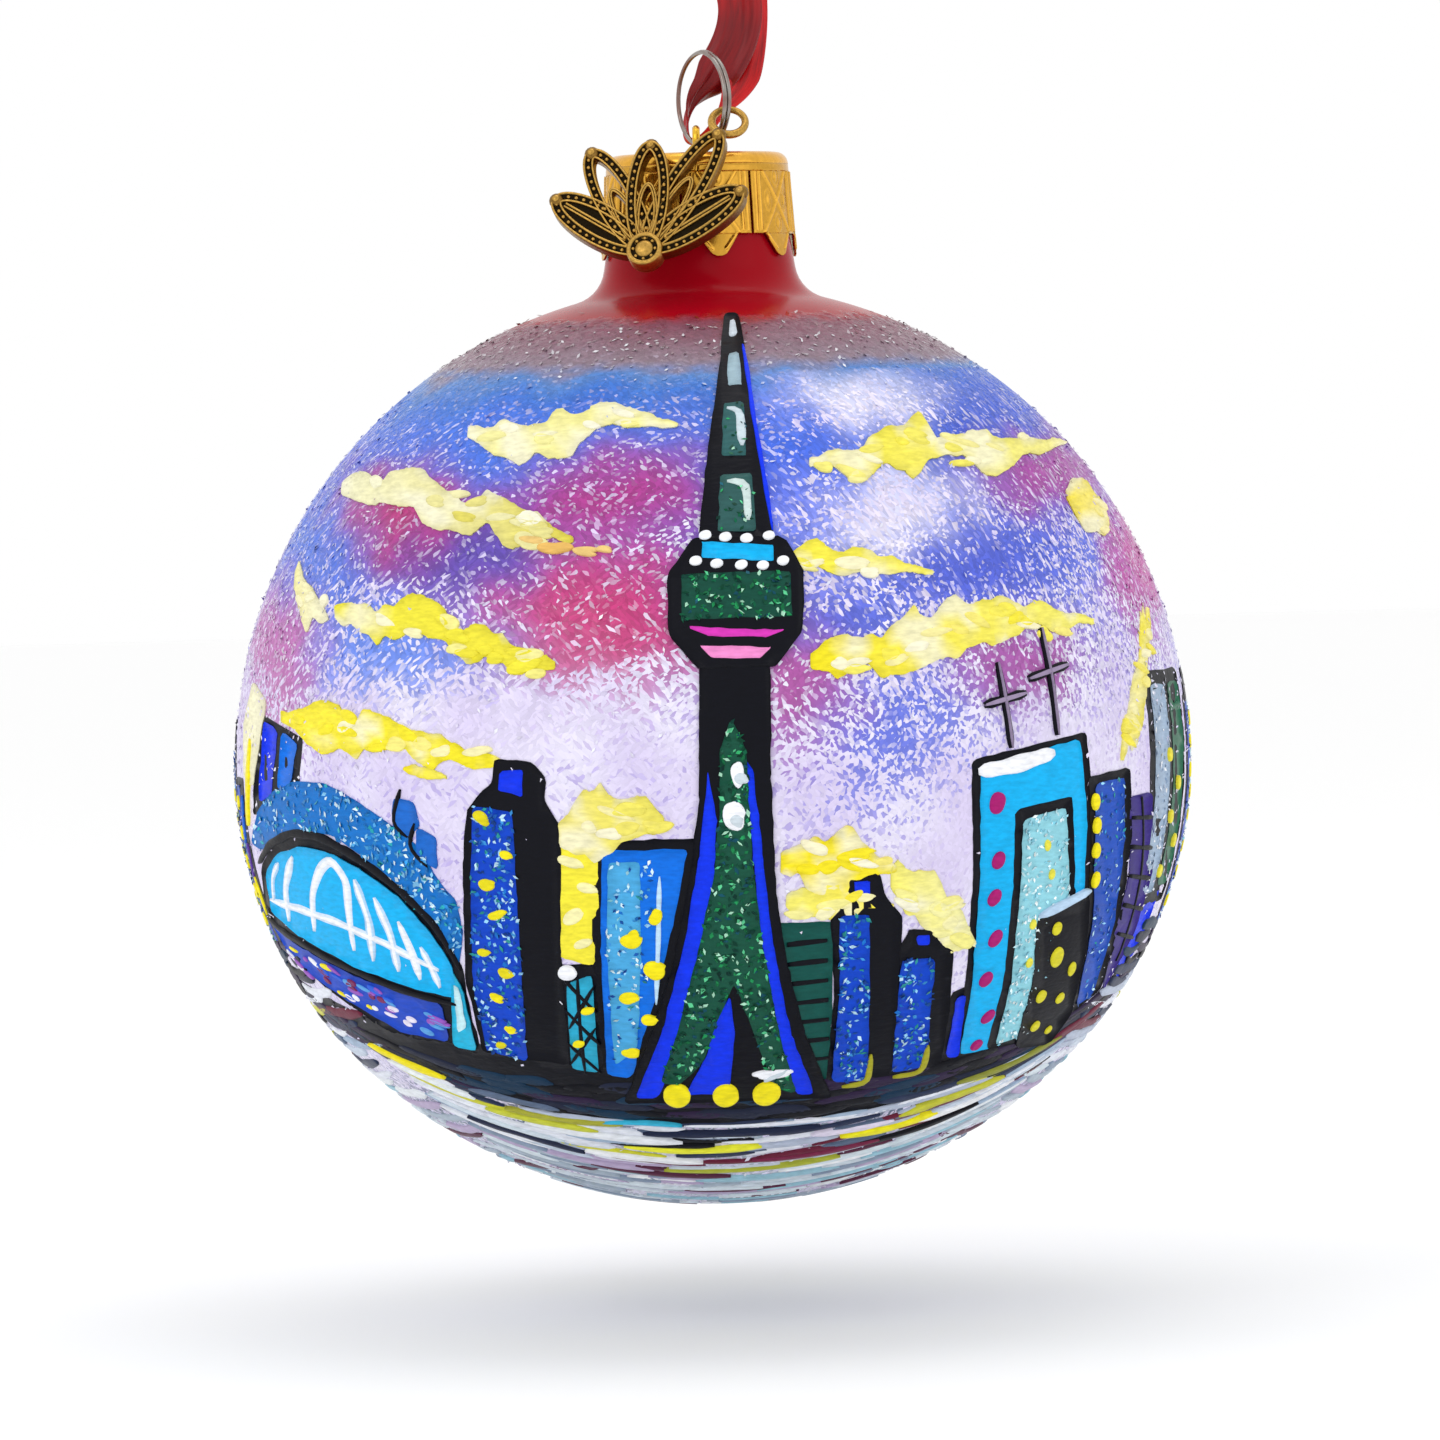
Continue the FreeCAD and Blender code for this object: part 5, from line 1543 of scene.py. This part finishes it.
stem_heading = math.radians(LOOP_FIRST + 3 * LOOP_STEP)
stem_start = on_charm((
    math.sin(stem_heading) * (LOOP_LENGTHS[3] - 0.8), math.cos(stem_heading) * (LOOP_LENGTHS[3] - 0.8),
    0))[0]
bail_axis = BAIL_AXIS / np.linalg.norm(BAIL_AXIS)
towards = stem_start - BAIL_CENTRE
towards -= bail_axis * towards.dot(bail_axis)
towards /= np.linalg.norm(towards)
stem_end = BAIL_CENTRE + towards * BAIL_R
stem_path = [stem_start + (stem_end - stem_start) * share for share in np.linspace(0, 1, 8)]
tube(charm, stem_path, (0.6, 0.56, 0.5, 0.46, 0.46, 0.48, 0.5, 0.5), WORN)
beside = np.cross(bail_axis, towards)
spin = np.linspace(0, 2 * math.pi, 56, endpoint=False)[:, None]
tube(charm, BAIL_CENTRE + BAIL_R * (towards * np.cos(spin) + beside * np.sin(spin)),
     BAIL_WIRE_R * (1 + 0.1 * np.cos(spin[:, 0])), POLISHED, shut=True)

# Antique brass: cast, plated, dipped in black patina and wiped back, so that the rims
# and beads shine warm and the low places stay nearly black.
antique_brass, tree = start_material("wiped_antique_brass")
PITTING = 0.25 * MM
pits = add(tree, "ShaderNodeTexNoise", {
    "Vector": add(tree, "ShaderNodeTexCoord").outputs["Object"], "Scale": 1 / PITTING,
    "Detail": 5.0})
pit_tint = patterned_tint(tree, pits.outputs[0], 0.68, 1.12, (0.3, 0.7))
pit_gloss = add(tree, "ShaderNodeMapRange", {
    "Value": pits.outputs[0], "To Min": 0.5, "To Max": 0.26})
pit_bump = add(tree, "ShaderNodeBump", {
    "Height": pits.outputs[0], "Strength": 0.35, "Distance": 0.05 * MM})
finish_material(tree, {
    "Base Color": pit_tint, "Metallic": 1.0, "Roughness": pit_gloss.outputs[0],
    "Normal": pit_bump.outputs[0]})
charm_piece = charm.piece("palmette_charm", antique_brass, "charm", "charm_metal")
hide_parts("charm")

# ==== Ribbon ====================================================================
# One length of red satin ribbon, threaded under the wire hoop and tied in an overhand
# knot above. It is soft: it gathers where it goes round the wire and folds up the loop.

RIBBON_ROUTE = (            # down the left strand, round the wire, and up the right strand
    (-0.9, 0, 98.6), (-1.3, 0.1, 92.5), (2.4, 0.6, 86), (5.1, 1.1, 80.5), (4.8, 1.3, 76.2),
    (2.5, 1.5, 72), (-0.8, 1.6, 69), (-1.3, 1.6, 64.95), (0.567, 1.6, 64.95), (2.6, 1.6, 67.6),
    (4.7, 2.7, 71.5), (5.6, 3.2, 77), (5.6, 3.0, 81.5), (5.1, 1.6, 88), (1.9, 0.4, 94),
    (0.9, 0, 98.6))
RIBBON_W = 4.6
GATHERED_W = 2.3            # where it is bunched round the wire
RIBBON_T = 0.16
THREAD = 0.28               # warp threads, drawn coarser than real ones so that they show


def nurbs_line(name, route):
    """Points (mm) read from a smooth NURBS line through a route."""
    curve = bpy.data.curves.new(name, "CURVE")
    curve.dimensions = "3D"
    curve.resolution_u = 16
    spline = curve.splines.new("NURBS")
    spline.points.add(len(route) - 1)
    for point, place in zip(spline.points, route):
        point.co = (*place, 1)
    spline.order_u = 3
    spline.use_endpoint_u = True
    holder = bpy.data.objects.new(name, curve)
    mesh = bpy.data.meshes.new_from_object(holder)
    line = np.array([vertex.co for vertex in mesh.vertices])
    bpy.data.objects.remove(holder)
    bpy.data.curves.remove(curve)
    bpy.data.meshes.remove(mesh)
    return line


def band(name, line, widths, width_ways, crumple, material, strand_darkening=0.0):
    """A soft band along a line, with a way for its width and a crumple at each point.

    The last argument darkens the band's red by that share, as one value or one for each point.
    """
    ahead = np.gradient(line, axis=0)
    ahead /= np.linalg.norm(ahead, axis=1)[:, None]
    over = width_ways - ahead * np.sum(width_ways * ahead, axis=1)[:, None]
    over /= np.linalg.norm(over, axis=1)[:, None]
    facing = np.cross(ahead, over)
    travel = travel_along(line)
    spots = np.linspace(-1, 1, 27)          # across the band, from edge to edge
    rows = []
    for at, middle in enumerate(line):
        half = widths[at] / 2
        fold = crumple[at] * (
            0.6 * np.sin(spots * 5.2 + travel[at] * 0.16)
            + 0.3 * np.sin(spots * 9.1 - travel[at] * 0.23)
            + 0.25 * np.cos(spots * 2.4 + travel[at] * 0.4))
        rows.append(middle + over[at] * (spots * half)[:, None] + facing[at] * fold[:, None])
    piece = make_piece(
        name, np.vstack(rows), grid_faces(len(line), len(spots), wrap=False), material, "ribbon",
        {"strand_darkening": np.repeat(np.broadcast_to(strand_darkening, len(line)), 4 * len(spots)).reshape(-1, 4)})
    weave = piece.data.uv_layers.new(name="weave")
    flat = np.array([
        (spot * RIBBON_W / 2, way) for way in travel for spot in spots])
    corner = np.zeros(len(piece.data.loops), np.int32)
    piece.data.loops.foreach_get("vertex_index", corner)
    weave.data.foreach_set("uv", flat[corner].astype(np.float32).ravel())
    thick = piece.modifiers.new("cloth_thickness", "SOLIDIFY")
    thick.thickness = RIBBON_T * MM
    thick.offset = 0.0
    return piece


# Red polyester satin, threads running lengthwise: the base colour holds painted sheen in soft
# streaks along the ribbon and painted shade, wine red, in its folds; a tight selvage runs down each
# edge.
satin, tree = start_material("red_polyester_satin")
weave = add(tree, "ShaderNodeUVMap", uv_map="weave")
threads_at = add(tree, "ShaderNodeMapping", {
    "Vector": weave.outputs[0], "Scale": (1 / THREAD, 0.06 / THREAD, 1.0)})
threads = add(tree, "ShaderNodeTexNoise", {
    "Vector": threads_at.outputs[0], "Scale": 1.0, "Detail": 3.0})
folds_at = add(tree, "ShaderNodeMapping", {
    "Vector": weave.outputs[0], "Scale": (0.5, 0.1, 1.0)})
folds = add(tree, "ShaderNodeTexNoise", {
    "Vector": folds_at.outputs[0], "Scale": 1.0, "Detail": 2.0})
sheen_streaks_and_fold_shade = add(tree, "ShaderNodeMath", {0: threads.outputs[0], 1: folds.outputs[0]},
              operation="ADD")
# Painted sheen and painted shade: the red is lighter along the thread streaks and darker in broad
# patches of the fold noise.
red = add(tree, "ShaderNodeValToRGB", {
    "Fac": add(tree, "ShaderNodeMapRange", {
        "Value": sheen_streaks_and_fold_shade.outputs[0], "From Min": 0.75, "From Max": 1.3}).outputs[0]})
red.color_ramp.elements[0].color = srgb("8a0c14")
red.color_ramp.elements[1].color = srgb("e01c20")
middle_red = red.color_ramp.elements.new(0.45)
middle_red.color = srgb("c41018")
# The band's own share, read here, mixes the red towards a darker red.
strand_darkening = add(tree, "ShaderNodeAttribute", attribute_name="strand_darkening")
darkened_red = add(tree, "ShaderNodeMix", {
    "Factor": strand_darkening.outputs["Fac"], 6: red.outputs[0], 7: srgb("600a12")}, data_type="RGBA")
thread_bump = add(tree, "ShaderNodeBump", {
    "Height": threads.outputs[0], "Strength": 0.5, "Distance": 0.06 * MM})
sheen_gloss = add(tree, "ShaderNodeMapRange", {
    "Value": threads.outputs[0], "To Min": 0.3, "To Max": 0.5})
finish_material(tree, {
    "Base Color": darkened_red.outputs[2], "Roughness": sheen_gloss.outputs[0],
    "Specular IOR Level": 0.3, "Sheen Weight": 0.06, "Sheen Roughness": 0.4,
    "Normal": thread_bump.outputs[0]})

ribbon_line = nurbs_line("ribbon_route", RIBBON_ROUTE)
height = ribbon_line[:, 2]
ribbon_way = np.column_stack([
    np.interp(height, (67, 73), (0, 1)), np.interp(height, (67, 73), (1, 0.12)),
    np.zeros(len(height))])
ribbon_width = np.interp(height, (65, 68, 72, 95, 98.6), (
    GATHERED_W, 2.7, RIBBON_W, RIBBON_W, 3.2))
ribbon_crumple = np.interp(height, (65, 70, 80, 98), (0.3, 0.35, 0.36, 0.35))
# Part of the descending strand is made darker, more over its middle heights.
going_down = np.arange(len(ribbon_line)) < np.argmin(height)
ribbon = band("ribbon_loop", ribbon_line, ribbon_width, ribbon_way, ribbon_crumple, satin,
              going_down * np.interp(height, (65, 69, 77, 84), (0.0, 0.8, 0.8, 0.1)))
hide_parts("ribbon")

KNOT_CENTRE = (0.0, 0.0, 100.4)
KNOT_STEPS = 120
KNOT_W = 2.6                # the ribbon is folded narrow in the knot
KNOT_SIZE = (6.0, 4.2, 5.0)
phase = np.linspace(0, 2 * math.pi, KNOT_STEPS)
wraps = np.column_stack([
    np.sin(phase) + 2 * np.sin(2 * phase), -np.sin(3 * phase), np.cos(phase) - 2 * np.cos(2 * phase)])
wraps *= (np.array(KNOT_SIZE) - 1.0) / 2 / np.abs(wraps).max(axis=0)
knot = band(
    "ribbon_knot_wraps", wraps + KNOT_CENTRE, np.full(KNOT_STEPS, KNOT_W),
    np.cross(np.gradient(wraps, axis=0), wraps + (0.01, 0.02, 0.0)), np.full(KNOT_STEPS, 0.07), satin)
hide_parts("ribbon_knot")
TAIL_TIPS = ((3.2, 0.6, 107.6), (-3.0, -0.6, 107.2))
TAIL_STEPS = 24
for name, tip in zip(("right", "left"), TAIL_TIPS):
    start = np.array(KNOT_CENTRE) + (0, 0, 0.6)
    tip = np.array(tip)
    bow = np.array((0.0, tip[1], 0.0))
    share = np.linspace(0, 1, TAIL_STEPS)[:, None]
    line = start + (tip - start) * share + bow * np.sin(share * math.pi)
    band(
        "ribbon_tail_" + name, line, np.interp(share[:, 0], (0, 0.35, 1), (2.4, 3.8, 4.2)),
        np.repeat([(1.0, 0.3, 0.0)], TAIL_STEPS, axis=0), np.interp(share[:, 0], (0, 1), (0.4, 0.25)),
        satin)
tuple(np.array(RIBBON_ROUTE[0]) * MM + np.array(BALL_CENTRE))
